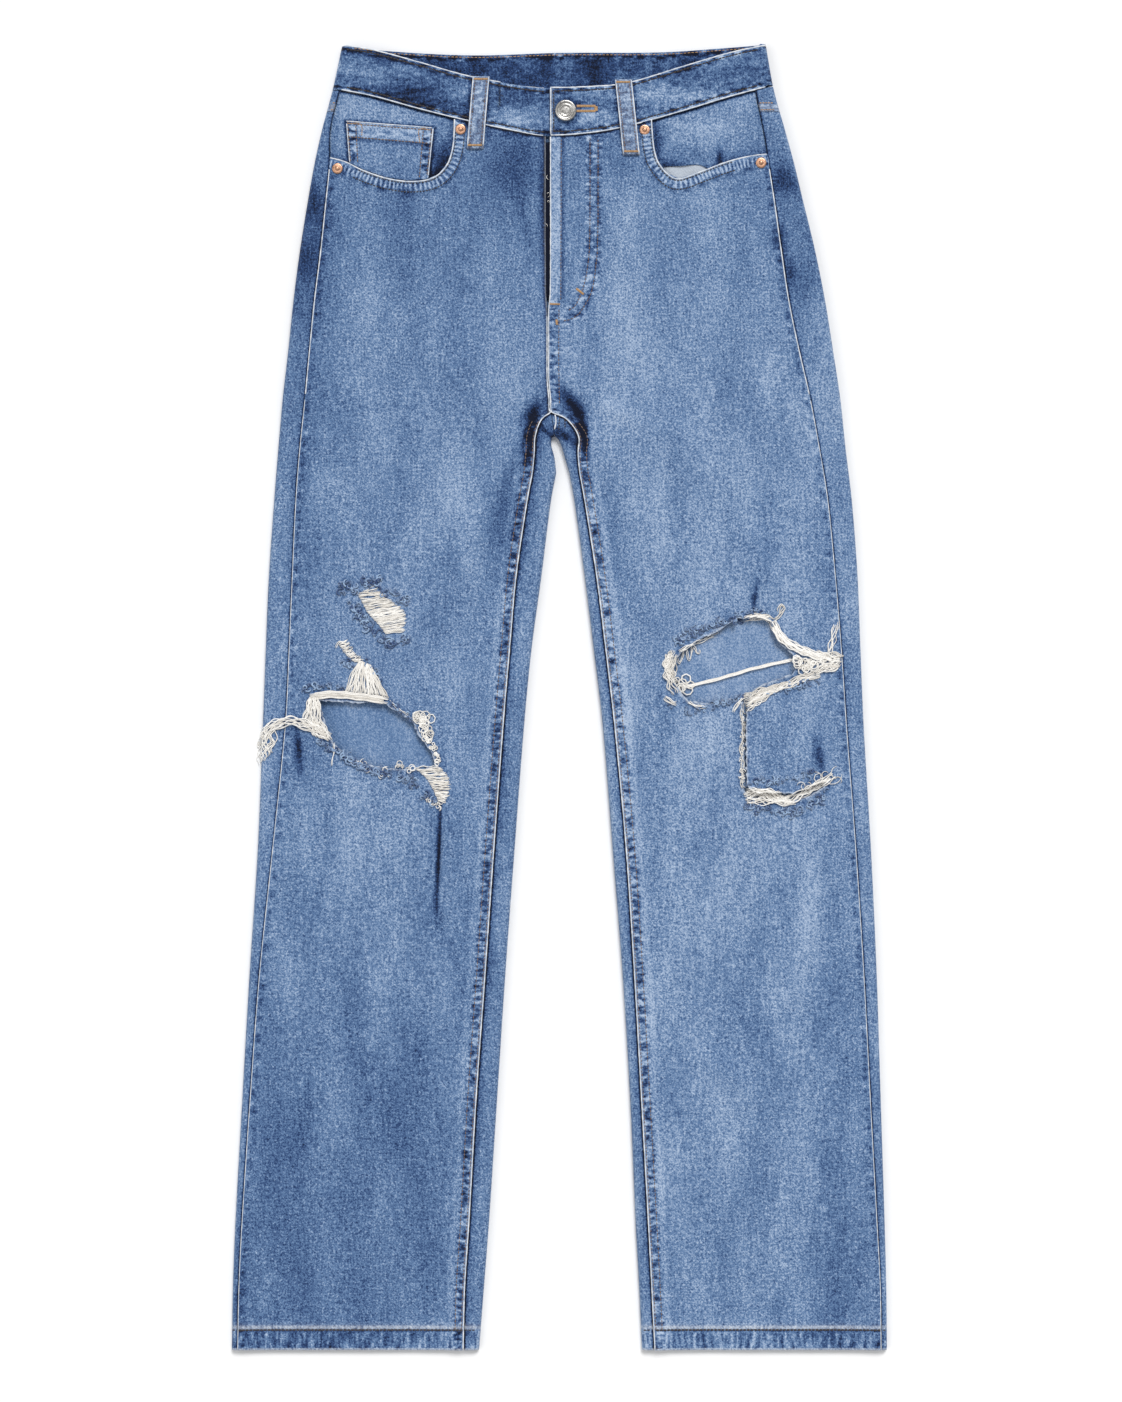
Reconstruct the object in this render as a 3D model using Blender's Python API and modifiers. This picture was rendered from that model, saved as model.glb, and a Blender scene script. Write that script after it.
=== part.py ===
"""Ripped high-waist jeans, lying flat on their back with the waist toward +Y.

The front faces +Z. Sizes in the tables are millimetres: x across from the centre line
(the wearer's right is negative), up from the hem, z from the floor. Each cloth piece is
lofted row by row as an open surface and given the wall of the denim, inward.
"""

import math
import random
from collections import namedtuple

import bmesh
import bpy
from mathutils import Vector

# Driving sizes of the garment
LENGTH = 1045.5
DENIM = 1.3
BAND_WALL = 3.0
SEAM_GAP = 0.3
BAND_GAP = 0.35
HEM_DEPTH = 15.0
HEM_STEP = 0.8

# How high the layers lie: the seat rests on its pockets and loops, the legs on the floor
SEAT_LIFT = 1.6
SEAT_FROM = 735.0
SEAT_TO = 765.0
FOLD_EASE = 16.0

# The crotch, where four seams meet
NOTCH = Vector((-4.0, 731.0))
CROTCH = Vector((-6.5, 749.5))

SideRow = namedtuple("SideRow", "up outer outseam")
RIGHT_SIDE = [
    SideRow(0, -262.4, -258.0),
    SideRow(50, -261.5, -257.0),
    SideRow(100, -259.6, -254.6),
    SideRow(200, -254.0, -248.0),
    SideRow(300, -248.2, -240.5),
    SideRow(400, -241.6, -230.0),
    SideRow(500, -237.5, -219.8),
    SideRow(560, -235.2, -216.8),
    SideRow(620, -232.6, -214.2),
    SideRow(680, -228.4, -211.3),
    SideRow(720, -225.2, -208.2),
    SideRow(760, -221.6, -204.0),
    SideRow(800, -217.0, -200.2),
    SideRow(840, -212.8, -196.2),
    SideRow(880, -207.6, -191.2),
    SideRow(920, -201.2, -187.0),
    SideRow(950, -195.8, -184.0),
    SideRow(976, -190.0, -183.2),
    SideRow(1008, -181.5, -175.6),
    SideRow(1045, -173.5, -168.0),
]
LEFT_SIDE = [
    SideRow(0, 262.2, 257.8),
    SideRow(50, 261.7, 257.2),
    SideRow(100, 260.4, 254.6),
    SideRow(200, 257.2, 249.2),
    SideRow(300, 254.0, 244.0),
    SideRow(400, 249.4, 237.6),
    SideRow(500, 243.5, 230.0),
    SideRow(560, 241.0, 226.0),
    SideRow(620, 238.6, 221.0),
    SideRow(680, 234.0, 215.0),
    SideRow(720, 229.2, 208.5),
    SideRow(760, 224.8, 201.0),
    SideRow(800, 218.8, 191.8),
    SideRow(840, 212.4, 183.6),
    SideRow(880, 204.4, 177.6),
    SideRow(920, 194.7, 172.0),
    SideRow(950, 187.5, 167.3),
    SideRow(976, 180.4, 163.0),
    SideRow(1008, 171.5, 157.0),
    SideRow(1045, 164.8, 155.0),
]

InnerRow = namedtuple("InnerRow", "up inseam inner")
RIGHT_INNER = [
    InnerRow(0, -76.5, -64.4),
    InnerRow(50, -75.3, -60.5),
    InnerRow(100, -72.0, -56.6),
    InnerRow(200, -66.2, -50.0),
    InnerRow(300, -59.0, -43.4),
    InnerRow(400, -52.0, -36.0),
    InnerRow(500, -44.5, -28.3),
    InnerRow(560, -39.4, -22.5),
    InnerRow(620, -34.0, -14.4),
    InnerRow(680, -25.2, -6.8),
    InnerRow(702, -21.0, -2.6),
]
LEFT_INNER = [
    InnerRow(0, 75.7, 66.0),
    InnerRow(50, 73.2, 63.8),
    InnerRow(100, 70.6, 61.0),
    InnerRow(200, 65.0, 56.6),
    InnerRow(300, 59.4, 50.5),
    InnerRow(400, 52.8, 42.6),
    InnerRow(500, 43.5, 34.6),
    InnerRow(560, 36.5, 27.5),
    InnerRow(620, 29.0, 20.0),
    InnerRow(680, 19.5, 11.8),
    InnerRow(702, 15.5, 7.8),
]

# The last rows of a leg turn with the seam round the crotch
CrotchRow = namedtuple("CrotchRow", "outer_up edge_x edge_up seam_x seam_up")
RIGHT_CROTCH = [
    CrotchRow(716, -4.0, 714.0, -19.6, 717.0),
    CrotchRow(728, -6.6, 724.0, -18.8, 731.0),
    CrotchRow(740, -6.0, 729.6, -14.2, 743.6),
]
LEFT_CROTCH = [
    CrotchRow(716, 4.0, 715.0, 14.2, 717.0),
    CrotchRow(728, 1.0, 724.5, 14.6, 731.0),
    CrotchRow(740, -1.8, 729.6, 5.6, 744.0),
]

# Where the front panels end at the centre: a closed seam, then the open fly
FlyRow = namedtuple("FlyRow", "up right left")
FLY = [
    FlyRow(760, -8.0, -7.4),
    FlyRow(776, -9.5, -8.9),
    FlyRow(800, -9.6, -9.0),
    FlyRow(832, -9.8, -8.9),
    FlyRow(846, -10.8, -7.7),
    FlyRow(985, -11.0, -7.5),
]

WaistRow = namedtuple("WaistRow", "x seam top")
FRONT_WAIST = [
    WaistRow(-181, 1008.0, 1044.5),
    WaistRow(-150, 1002.0, 1040.0),
    WaistRow(-112, 991.6, 1030.0),
    WaistRow(-75, 982.5, 1019.5),
    WaistRow(-40, 975.0, 1013.0),
    WaistRow(-10, 970.5, 1010.0),
    WaistRow(25, 972.6, 1010.6),
    WaistRow(55, 978.0, 1013.6),
    WaistRow(100, 990.5, 1027.0),
    WaistRow(138, 1002.0, 1038.0),
    WaistRow(172, 1011.0, 1045.0),
]
BACK_WAIST = [
    WaistRow(-181, 1008.0, 1044.5),
    WaistRow(-140, 1003.5, 1039.6),
    WaistRow(-70, 1000.0, 1036.0),
    WaistRow(0, 1001.0, 1038.0),
    WaistRow(80, 1002.0, 1038.4),
    WaistRow(130, 1006.0, 1041.6),
    WaistRow(172, 1011.0, 1045.0),
]
YOKE_SIDE = 990.0
YOKE_CENTRE = 930.0
SIDE_SEAM_X = 176.0
SIDE_TOP_X = 168.0

# Heights of the layers: radius of the folded edge and height of the cloth between edges
HeightRow = namedtuple("HeightRow", "up fold crown")
HEIGHTS = [
    HeightRow(0, 3.1, 5.2),
    HeightRow(60, 3.5, 5.2),
    HeightRow(300, 3.9, 5.6),
    HeightRow(560, 4.0, 6.4),
    HeightRow(700, 4.1, 8.0),
    HeightRow(780, 4.2, 9.2),
    HeightRow(1045, 4.4, 9.6),
]

# The largest folds of the front: a soft ridge or trough from one end to the other
FoldRow = namedtuple("FoldRow", "x0 up0 x1 up1 width rise")
FOLDS = [
    FoldRow(-24, 738, -44, 700, 9, 2.0),
    FoldRow(-30, 700, -62, 560, 14, -1.4),
    FoldRow(-60, 690, -95, 585, 16, 1.8),
    FoldRow(20, 738, 34, 700, 9, 2.0),
    FoldRow(34, 700, 48, 600, 12, -1.2),
    FoldRow(62, 760, 130, 690, 18, 1.6),
    FoldRow(-110, 820, -60, 760, 20, 1.4),
    FoldRow(-97, 440, -99, 352, 7, 3.2),
    FoldRow(-86, 440, -90, 352, 8, -1.4),
    FoldRow(160, 650, 160, 596, 9, 2.6),
    FoldRow(212, 500, 200, 452, 10, 2.4),
    FoldRow(208, 420, 190, 284, 9, 1.6),
    FoldRow(118, 236, 152, 204, 10, 1.4),
    FoldRow(-214, 470, -222, 380, 9, 1.6),
]

LEG_UPS = (0, 14, 17, 55, 95, 140, 185, 230, 275, 320, 360, 398, 432, 464, 492, 520, 548, 578,
           612, 646, 676, 702)
BODY_UPS = (760, 776, 800, 830, 860, 890, 918, 940, 956)
TOP_STEPS = (0.5, 1.0)
BACK_STEPS = (0.28, 0.5, 0.66, 1.0)
BODY_BACK_UPS = (760, 776, 800, 830, 860, 890)

FRONT_ACROSS = 12
FLAT_STEPS = 2
ARC_STEPS = 5
UNDER_STEPS = 6
CUT_LOW = 1.0
CUT_HIGH = 30.0

# Pocket openings, as the front panel is cut
PocketPoint = namedtuple("PocketPoint", "x up")
RIGHT_POCKET = [
    PocketPoint(-84.3, 984.0),
    PocketPoint(-84.8, 970.0),
    PocketPoint(-86.0, 960.0),
    PocketPoint(-89.5, 949.0),
    PocketPoint(-97.0, 940.0),
    PocketPoint(-107.0, 935.6),
    PocketPoint(-122.0, 934.6),
    PocketPoint(-139.5, 937.5),
    PocketPoint(-157.0, 943.5),
    PocketPoint(-172.0, 950.6),
    PocketPoint(-190.0, 955.0),
]
LEFT_POCKET = [
    PocketPoint(73.7, 986.0),
    PocketPoint(74.6, 972.0),
    PocketPoint(76.0, 960.0),
    PocketPoint(79.0, 950.0),
    PocketPoint(86.0, 941.0),
    PocketPoint(95.5, 936.6),
    PocketPoint(113.0, 942.5),
    PocketPoint(133.0, 950.0),
    PocketPoint(154.0, 955.2),
    PocketPoint(175.0, 957.0),
]

# Facing behind each opening: how far down it reaches at each x. Its side ends at the outseam.
FacingRow = namedtuple("FacingRow", "x low")
RIGHT_FACING = [
    FacingRow(-186.0, 946.0),
    FacingRow(-172.0, 940.0),
    FacingRow(-157.0, 935.0),
    FacingRow(-139.5, 929.5),
    FacingRow(-122.0, 926.6),
    FacingRow(-107.0, 927.6),
    FacingRow(-97.0, 931.0),
    FacingRow(-76.0, 938.0),
]
LEFT_FACING = [
    FacingRow(66.0, 944.0),
    FacingRow(79.0, 946.0),
    FacingRow(95.5, 947.0),
    FacingRow(113.0, 947.5),
    FacingRow(124.0, 942.0),
    FacingRow(140.0, 944.0),
    FacingRow(152.0, 947.0),
    FacingRow(168.0, 949.0),
]

# Rips, as the front panels are cut through
RipPoint = namedtuple("RipPoint", "x up")
RIGHT_KNEE_RIP = [
    RipPoint(-192.0, 519.5),
    RipPoint(-166.0, 518.0),
    RipPoint(-139.5, 517.0),
    RipPoint(-131.5, 511.0),
    RipPoint(-117.5, 502.5),
    RipPoint(-113.5, 493.0),
    RipPoint(-108.0, 486.0),
    RipPoint(-101.0, 475.0),
    RipPoint(-99.5, 466.5),
    RipPoint(-111.0, 464.5),
    RipPoint(-131.5, 465.0),
    RipPoint(-153.0, 468.0),
    RipPoint(-167.0, 474.0),
    RipPoint(-181.0, 485.5),
    RipPoint(-187.0, 500.0),
]
LEFT_KNEE_RIP = [
    RipPoint(91.0, 536.0),
    RipPoint(93.0, 553.0),
    RipPoint(102.0, 562.0),
    RipPoint(117.0, 570.5),
    RipPoint(131.0, 577.5),
    RipPoint(142.0, 585.0),
    RipPoint(160.0, 586.0),
    RipPoint(168.0, 584.0),
    RipPoint(170.0, 576.0),
    RipPoint(177.0, 564.0),
    RipPoint(186.0, 556.5),
    RipPoint(190.0, 549.0),
    RipPoint(186.0, 541.0),
    RipPoint(172.0, 536.0),
    RipPoint(156.0, 529.5),
    RipPoint(151.0, 521.0),
    RipPoint(149.6, 500.0),
    RipPoint(150.6, 470.0),
    RipPoint(150.4, 452.0),
    RipPoint(157.0, 446.0),
    RipPoint(172.0, 445.4),
    RipPoint(188.0, 444.8),
    RipPoint(199.0, 450.0),
    RipPoint(214.0, 456.0),
    RipPoint(211.0, 450.0),
    RipPoint(199.0, 443.0),
    RipPoint(187.0, 439.4),
    RipPoint(168.0, 440.0),
    RipPoint(150.0, 442.4),
    RipPoint(145.6, 452.0),
    RipPoint(146.0, 470.0),
    RipPoint(145.0, 500.0),
    RipPoint(145.6, 518.0),
    RipPoint(137.0, 521.4),
    RipPoint(120.0, 517.6),
    RipPoint(103.0, 518.6),
    RipPoint(97.0, 526.0),
]

# Frayed yarns: the strip they grow from, and how they leave it
FrayRow = namedtuple("FrayRow", "name x0 up0 x1 up1 strands turn reach")
FRAYS = [
    FrayRow("knee_fringe_right", -189.6, 514.0, -184.4, 496.0, 14, -1, 56.0),
    FrayRow("knee_fray_right", -102.0, 473.5, -110.0, 487.0, 12, -1, 9.0),
    FrayRow("knee_fringe_left", 93.6, 550.0, 92.1, 537.5, 12, -1, 9.0),
    FrayRow("knee_fray_left", 186.6, 553.8, 179.0, 560.0, 10, -1, 16.0),
    FrayRow("knee_fringe_low_left", 170.0, 441.3, 185.0, 440.8, 14, -1, 9.0),
]
STRAND_WIDTH = 0.8
STRIP_WIDTH = 1.2
STRIP_HEIGHT = 1.8
FRAY_SEED = 7

BUTTON_AT = (5.0, 990.5)
BUTTON_SIDES = 20
RIVET_RADIUS = 4.2
RIVET_SIDES = 12
METAL_ROOM = 0.45
RivetRow = namedtuple("RivetRow", "name x up")
RIVETS = [
    RivetRow("rivet_right_waist", -79.0, 976.0),
    RivetRow("rivet_right_side", -177.4, 944.6),
    RivetRow("rivet_left_waist", 68.0, 975.5),
    RivetRow("rivet_left_side", 161.0, 949.2),
]

# Belt loops, from their upper end to their lower one
LOOP_WIDTH = 13.5
LOOP_WALL = 2.2
LOOP_ROOM = 0.45
LOOP_ARCH = 1.6
LOOP_BEND = 9.0
LOOP_STEPS = 8
LoopRow = namedtuple("LoopRow", "name x0 up0 x1 up1")
FRONT_LOOPS = [
    LoopRow("belt_loop_front_right", -62.6, 1018.0, -67.4, 960.0),
    LoopRow("belt_loop_front_left", 51.0, 1015.6, 57.4, 955.0),
]
BACK_LOOPS = [
    LoopRow("belt_loop_back_right", -98.0, 1035.0, -98.0, 980.0),
    LoopRow("belt_loop_back_centre", 0.0, 1036.0, 0.0, 981.0),
    LoopRow("belt_loop_back_left", 98.0, 1037.0, 98.0, 982.0),
]

# Back pocket, from its top edge down to its point
POCKET_OUTLINE = [
    (-66.0, 0.0),
    (66.0, 0.0),
    (62.0, -112.0),
    (0.0, -138.0),
    (-62.0, -112.0),
]
POCKET_X = 88.0
POCKET_UP = 925.0
POCKET_SLANT = 6.0


def place(x, up, z):
    """A point of the tables, in metres, with the middle of the garment at the origin."""
    return Vector((x, up - LENGTH / 2, z)) / 1000


def read(rows, key, column, at):
    """A column's value at a place along the table, on a smooth curve through its rows."""
    keys = [getattr(row, key) for row in rows]
    values = [getattr(row, column) for row in rows]
    last = len(keys) - 1
    if at <= keys[0]:
        return values[0]
    if at >= keys[last]:
        return values[last]
    low = max(i for i in range(last) if keys[i] <= at)

    def slope(i):
        before = max(i - 1, 0)
        after = min(i + 1, last)
        return (values[after] - values[before]) / (keys[after] - keys[before])

    span = keys[low + 1] - keys[low]
    t = (at - keys[low]) / span
    start = (2 * t**3 - 3 * t**2 + 1) * values[low] + (t**3 - 2 * t**2 + t) * span * slope(low)
    end = (3 * t**2 - 2 * t**3) * values[low + 1] + (t**3 - t**2) * span * slope(low + 1)
    return start + end


def ease(t):
    t = min(max(t, 0.0), 1.0)
    return t * t * (3 - 2 * t)


def floor_height(up):
    """Height of the underside: flat on the floor, lifted under the seat by its pockets."""
    return SEAT_LIFT * ease((up - SEAT_FROM) / (SEAT_TO - SEAT_FROM))


def fold_radius(up):
    return read(HEIGHTS, "up", "fold", up)


def hem_step(up):
    return HEM_STEP if up < HEM_DEPTH else 0.0


def folds(x, up):
    """Rise of the cloth at a place, from the ridges and troughs near it."""
    rise = 0.0
    for fold in FOLDS:
        start = Vector((fold.x0, fold.up0))
        along = Vector((fold.x1, fold.up1)) - start
        here = Vector((x, up)) - start
        t = min(max(here.dot(along) / along.length_squared, 0.0), 1.0)
        away = (here - along * t).length / fold.width
        taper = 0.35 + 0.65 * math.sin(math.pi * min(max(t, 0.08), 0.92))
        rise += fold.rise * taper * math.exp(-away * away)
    return rise


def cloth_height(x, up, distance):
    """Height of the top surface at a distance from the nearest folded edge."""
    radius = fold_radius(up)
    low = floor_height(up)
    if distance < radius:
        inset = radius - max(distance, 0.0)
        return low + radius + math.sqrt(max(radius * radius - inset * inset, 0.0))
    edge = low + 2 * radius
    crown = read(HEIGHTS, "up", "crown", up)
    easing = math.exp(-(distance - radius) / FOLD_EASE)
    soft = folds(x, up) * ease((distance - radius) / 10)
    return crown + (edge - crown) * easing + soft + hem_step(up)


# A course is one row across half of the garment, from its side to its inner edge
Course = namedtuple("Course", "outer outseam seam edge")
Half = namedtuple("Half", "name sign side inner crotch pocket facing rip")
RIGHT = Half("right", -1, RIGHT_SIDE, RIGHT_INNER, RIGHT_CROTCH, RIGHT_POCKET, RIGHT_FACING,
             RIGHT_KNEE_RIP)
LEFT = Half("left", 1, LEFT_SIDE, LEFT_INNER, LEFT_CROTCH, LEFT_POCKET, LEFT_FACING,
            LEFT_KNEE_RIP)


def side_points(half, up):
    outer = read(half.side, "up", "outer", up)
    outseam = read(half.side, "up", "outseam", up)
    nearest = fold_radius(up) + 1.0
    if abs(outer - outseam) < nearest:
        outseam = outer - half.sign * nearest
    return Vector((outer, up)), Vector((outseam, up))


def leg_courses(half):
    """Rows of a leg from its hem to the crotch, the last ones turning with the seam."""
    courses = []
    for up in LEG_UPS:
        outer, outseam = side_points(half, up)
        inseam = read(half.inner, "up", "inseam", up)
        inner = read(half.inner, "up", "inner", up)
        nearest = fold_radius(up) + 1.0
        if abs(inner - inseam) < nearest:
            inseam = inner + half.sign * nearest
        courses.append(Course(outer, outseam, Vector((inseam, up)), Vector((inner, up))))
    for row in half.crotch:
        outer, outseam = side_points(half, row.outer_up)
        seam = Vector((row.seam_x, row.seam_up))
        courses.append(Course(outer, outseam, seam, Vector((row.edge_x, row.edge_up))))
    outer, outseam = side_points(half, CROTCH.y)
    shift = Vector((half.sign * SEAM_GAP / 2, 0.0))
    courses.append(Course(outer, outseam, CROTCH + shift, NOTCH + shift))
    return courses


def body_courses(half, ups):
    """Rows above the crotch, from the side to the centre front."""
    courses = []
    for up in ups:
        outer, outseam = side_points(half, up)
        seam = Vector((read(FLY, "up", half.name, up), up))
        courses.append(Course(outer, outseam, seam, Vector(NOTCH)))
    return courses


def course_height(course, point):
    distance = min((point - course.outer).length, (point - course.edge).length)
    return cloth_height(point.x, point.y, distance)


def loft(name, rows, wall):
    """An open surface through rows of points, given its wall on its inner side."""
    mesh = bpy.data.meshes.new(name)
    grid = bmesh.new()
    made = [[grid.verts.new(place(*point)) for point in row] for row in rows]
    for low, high in zip(made, made[1:]):
        pairs = list(zip(low, high))
        for (a, b), (c, d) in zip(pairs, pairs[1:]):
            grid.faces.new((a, c, d, b))
    grid.to_mesh(mesh)
    grid.free()
    part = bpy.data.objects.new(name, mesh)
    wall_up(part, wall)
    return part


def wall_up(part, wall):
    """Turn the surface so that its top faces up, and give it a wall on its inner side."""
    data = bmesh.new()
    data.from_mesh(part.data)
    bmesh.ops.remove_doubles(data, verts=data.verts, dist=0.00001)
    bmesh.ops.recalc_face_normals(data, faces=data.faces)
    highest = max(data.faces, key=lambda face: face.calc_center_median().z)
    if highest.normal.z < 0:
        bmesh.ops.reverse_faces(data, faces=data.faces)
    data.to_mesh(part.data)
    data.free()
    solid = part.modifiers.new("wall", "SOLIDIFY")
    solid.thickness = wall / 1000
    solid.offset = -1.0
    solid.use_even_offset = True
    part.data.shade_smooth()
    part.data.set_sharp_from_angle(angle=math.radians(50))


def finish(part, collection, material):
    collection.objects.link(part)
    part.data.materials.clear()
    part.data.materials.append(material)
    return part


def across(start, end, steps):
    return [start.lerp(end, i / steps) for i in range(steps + 1)]


def waist_rows(start, end, low_up, steps, half):
    """Rows that bend from a level row up to the waist seam."""
    rows = []
    for step in steps:
        row = []
        for i in range(FRONT_ACROSS + 1):
            share = i / FRONT_ACROSS
            x = start.x + (end.x - start.x) * share
            high = read(FRONT_WAIST, "x", "seam", x) - BAND_GAP
            up = low_up + (high - low_up) * step
            outer, outseam = side_points(half, up)
            inset = outseam.x - half.sign * SEAM_GAP
            x = inset + (end.x - inset) * share
            distance = abs(outer.x - x)
            row.append((x, up, cloth_height(x, up, distance)))
        rows.append(row)
    return rows


def front_rows(half):
    """Rows of a front panel, from outseam to inseam and then to the centre front."""
    rows = []
    legs = leg_courses(half)
    body = body_courses(half, BODY_UPS)
    for course in legs + body:
        start = course.outseam - Vector((half.sign * SEAM_GAP, 0.0))
        end = course.seam
        if course in legs:
            end = end + (course.seam - course.edge).normalized() * SEAM_GAP
        row = []
        for point in across(start, end, FRONT_ACROSS):
            row.append((point.x, point.y, course_height(course, point)))
        rows.append(row)
    top = body[-1]
    rows += waist_rows(top.outseam, top.seam, top.outer.y, TOP_STEPS, half)
    return rows


def prism(name, outline, low, high, cutters):
    """A cutter with the outline of a cut, between two heights."""
    curve = bpy.data.curves.new(name, "CURVE")
    curve.dimensions = "2D"
    curve.fill_mode = "BOTH"
    curve.extrude = (high - low) / 2000
    spline = curve.splines.new("POLY")
    spline.points.add(len(outline) - 1)
    for target, (x, up) in zip(spline.points, outline):
        target.co = (*place(x, up, 0.0), 1.0)
    spline.use_cyclic_u = True
    guide = bpy.data.objects.new(name + "_outline", curve)
    guide.location.z = (low + high) / 2000
    bpy.context.scene.collection.objects.link(guide)
    bpy.context.view_layer.update()
    graph = bpy.context.evaluated_depsgraph_get()
    mesh = bpy.data.meshes.new_from_object(guide.evaluated_get(graph))
    data = bmesh.new()
    data.from_mesh(mesh)
    bmesh.ops.remove_doubles(data, verts=data.verts, dist=0.00001)
    bmesh.ops.recalc_face_normals(data, faces=data.faces)
    data.to_mesh(mesh)
    data.free()
    part = bpy.data.objects.new(name, mesh)
    part.matrix_world = guide.matrix_world
    bpy.data.objects.remove(guide)
    if cutters is not None:
        part.display_type = "WIRE"
        part.hide_render = True
        cutters.objects.link(part)
    return part


def cut(part, cutter):
    boolean = part.modifiers.new(cutter.name, "BOOLEAN")
    boolean.operation = "DIFFERENCE"
    boolean.solver = "EXACT"
    boolean.object = cutter


# How far up and out the cut for a pocket opening reaches, past the panel's corner
POCKET_CUT_SIDE = 215.0
POCKET_CUT_LOW = 960.0
POCKET_CUT_HIGH = 1030.0


def front_panel(half, collection, cutters, material):
    part = finish(loft("front_panel_" + half.name, front_rows(half), DENIM), collection, material)
    far = half.sign * POCKET_CUT_SIDE
    near = half.pocket[0].x
    corner = [(point.x, point.up) for point in half.pocket]
    corner += [(far, POCKET_CUT_LOW), (far, POCKET_CUT_HIGH), (near, POCKET_CUT_HIGH)]
    cut(part, prism("pocket_cut_" + half.name, corner, CUT_LOW, CUT_HIGH, cutters))
    rip = [(point.x, point.up) for point in half.rip]
    cut(part, prism("rip_cut_" + half.name, rip, CUT_LOW, CUT_HIGH, cutters))
    return part


def fold_path(distance, radius):
    """Steps from the top, this far in, round a folded edge to the bottom: inset and rise."""
    path = []
    for i in range(FLAT_STEPS):
        path.append((distance + (radius - distance) * i / FLAT_STEPS, 1.0))
    for i in range(ARC_STEPS + 1):
        angle = math.pi / 2 - math.pi * i / ARC_STEPS
        path.append((radius - radius * math.cos(angle), math.sin(angle)))
    return path


def edge_points(edge, seam):
    """Points of a back panel from a seam on the top, round its edge, to the bottom."""
    toward = (seam - edge).normalized()
    radius = fold_radius(edge.y)
    points = []
    for inset, rise in fold_path((seam - edge).length, radius):
        at = edge + toward * inset
        if rise == 1.0:
            z = cloth_height(at.x, at.y, max(inset, radius))
        else:
            z = floor_height(edge.y) + radius * (1 + rise)
        points.append((at.x, at.y, z))
    return points


def yoke_seam(x):
    return YOKE_CENTRE + (YOKE_SIDE - YOKE_CENTRE) * min(abs(x) / 184.0, 1.0)


def centre_back(up):
    """The seat seam runs from the crotch to the middle of the waist."""
    return NOTCH.x * (1 - ease((up - NOTCH.y) / 80))


def under_points(start, end, steps):
    return [
        (point.x, point.y, floor_height(point.y)) for point in across(start, end, steps)
    ]


def back_panel(half, collection, material):
    """A back panel wraps from the outseam under the leg to the inseam."""
    outside = []
    inside = []
    for course in leg_courses(half):
        wrap = edge_points(course.outer, course.outseam)
        start = Vector(wrap[-1][:2])
        inner = edge_points(course.edge, course.seam)
        end = Vector(inner[-1][:2])
        outside.append(wrap[:-1] + under_points(start, end, UNDER_STEPS))
        inside.append(inner[::-1])
    for up in BODY_BACK_UPS:
        outer, outseam = side_points(half, up)
        wrap = edge_points(outer, outseam)
        end = Vector((centre_back(up) + half.sign * SEAM_GAP / 2, up))
        under = under_points(Vector(wrap[-1][:2]), end, UNDER_STEPS)
        outside.append(wrap[:-1] + under)
    low_up = BODY_BACK_UPS[-1]
    for step in BACK_STEPS:
        up = low_up + (YOKE_SIDE - SEAM_GAP / 2 - low_up) * step
        outer, outseam = side_points(half, up)
        wrap = edge_points(outer, outseam)
        start = Vector(wrap[-1][:2])
        row = wrap[:-1]
        for point in across(start, Vector((half.sign * SEAM_GAP / 2, up)), UNDER_STEPS):
            bent = low_up + (yoke_seam(point.x) - SEAM_GAP / 2 - low_up) * step
            row.append((point.x, bent, floor_height(bent)))
        outside.append(row)
    part = loft("back_panel_" + half.name, outside, DENIM)
    add_rows(part, inside)
    return finish(part, collection, material)


def add_rows(part, rows):
    """Sew a second strip of rows to a surface before its wall is made."""
    part.modifiers.clear()
    data = bmesh.new()
    data.from_mesh(part.data)
    made = [[data.verts.new(place(*point)) for point in row] for row in rows]
    for low, high in zip(made, made[1:]):
        for (a, b), (c, d) in zip(zip(low, high), list(zip(low, high))[1:]):
            data.faces.new((a, c, d, b))
    data.to_mesh(part.data)
    data.free()
    wall_up(part, DENIM)


def yoke(half, collection, material):
    """The yoke fills the wedge between the back panel and the waistband."""
    rows = []
    for share in (0.0, 0.5, 1.0):
        low = YOKE_SIDE + SEAM_GAP / 2
        side_top = read(FRONT_WAIST, "x", "seam", half.sign * SIDE_SEAM_X) - BAND_GAP
        up = low + (side_top - low) * share
        outer, outseam = side_points(half, up)
        wrap = edge_points(outer, outseam)
        start = Vector(wrap[-1][:2])
        row = []
        for x, level, z in wrap[:-1]:
            top = min(read(FRONT_WAIST, "x", "seam", x) - BAND_GAP, side_top)
            row.append((x, low + (top - low) * share, z))
        for point in across(start, Vector((half.sign * SEAM_GAP / 2, up)), UNDER_STEPS):
            bottom = yoke_seam(point.x) + SEAM_GAP / 2
            top = read(BACK_WAIST, "x", "seam", point.x) - BAND_GAP
            level = bottom + (top - bottom) * share
            row.append((point.x, level, floor_height(level)))
        rows.append(row)
    return finish(loft("yoke_" + half.name, rows, DENIM), collection, material)


BAND_FRONT_STEPS = 10
BAND_BACK_STEPS = 12
BAND_ARC_STEPS = 6
BAND_RISE = 0.9
BAND_SHARES = (0.0, 0.5, 1.0)
UNDERLAP_END = 26.0
UNDERLAP_FROM = -48.0
UNDERLAP_DROP = 3.4
UNDERLAP_INSET = 0.6


def band_edges(half, share):
    """Side of the waistband at a share of its height, and the radius of its fold."""
    seam = read(FRONT_WAIST, "x", "seam", half.sign * SIDE_SEAM_X) + BAND_GAP
    top = read(FRONT_WAIST, "x", "top", half.sign * SIDE_TOP_X)
    up = seam + (top - seam) * share
    outer = read(half.side, "up", "outer", up)
    radius = (read(HEIGHTS, "up", "crown", up) + BAND_RISE - SEAT_LIFT) / 2
    return outer, up, radius


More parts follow.
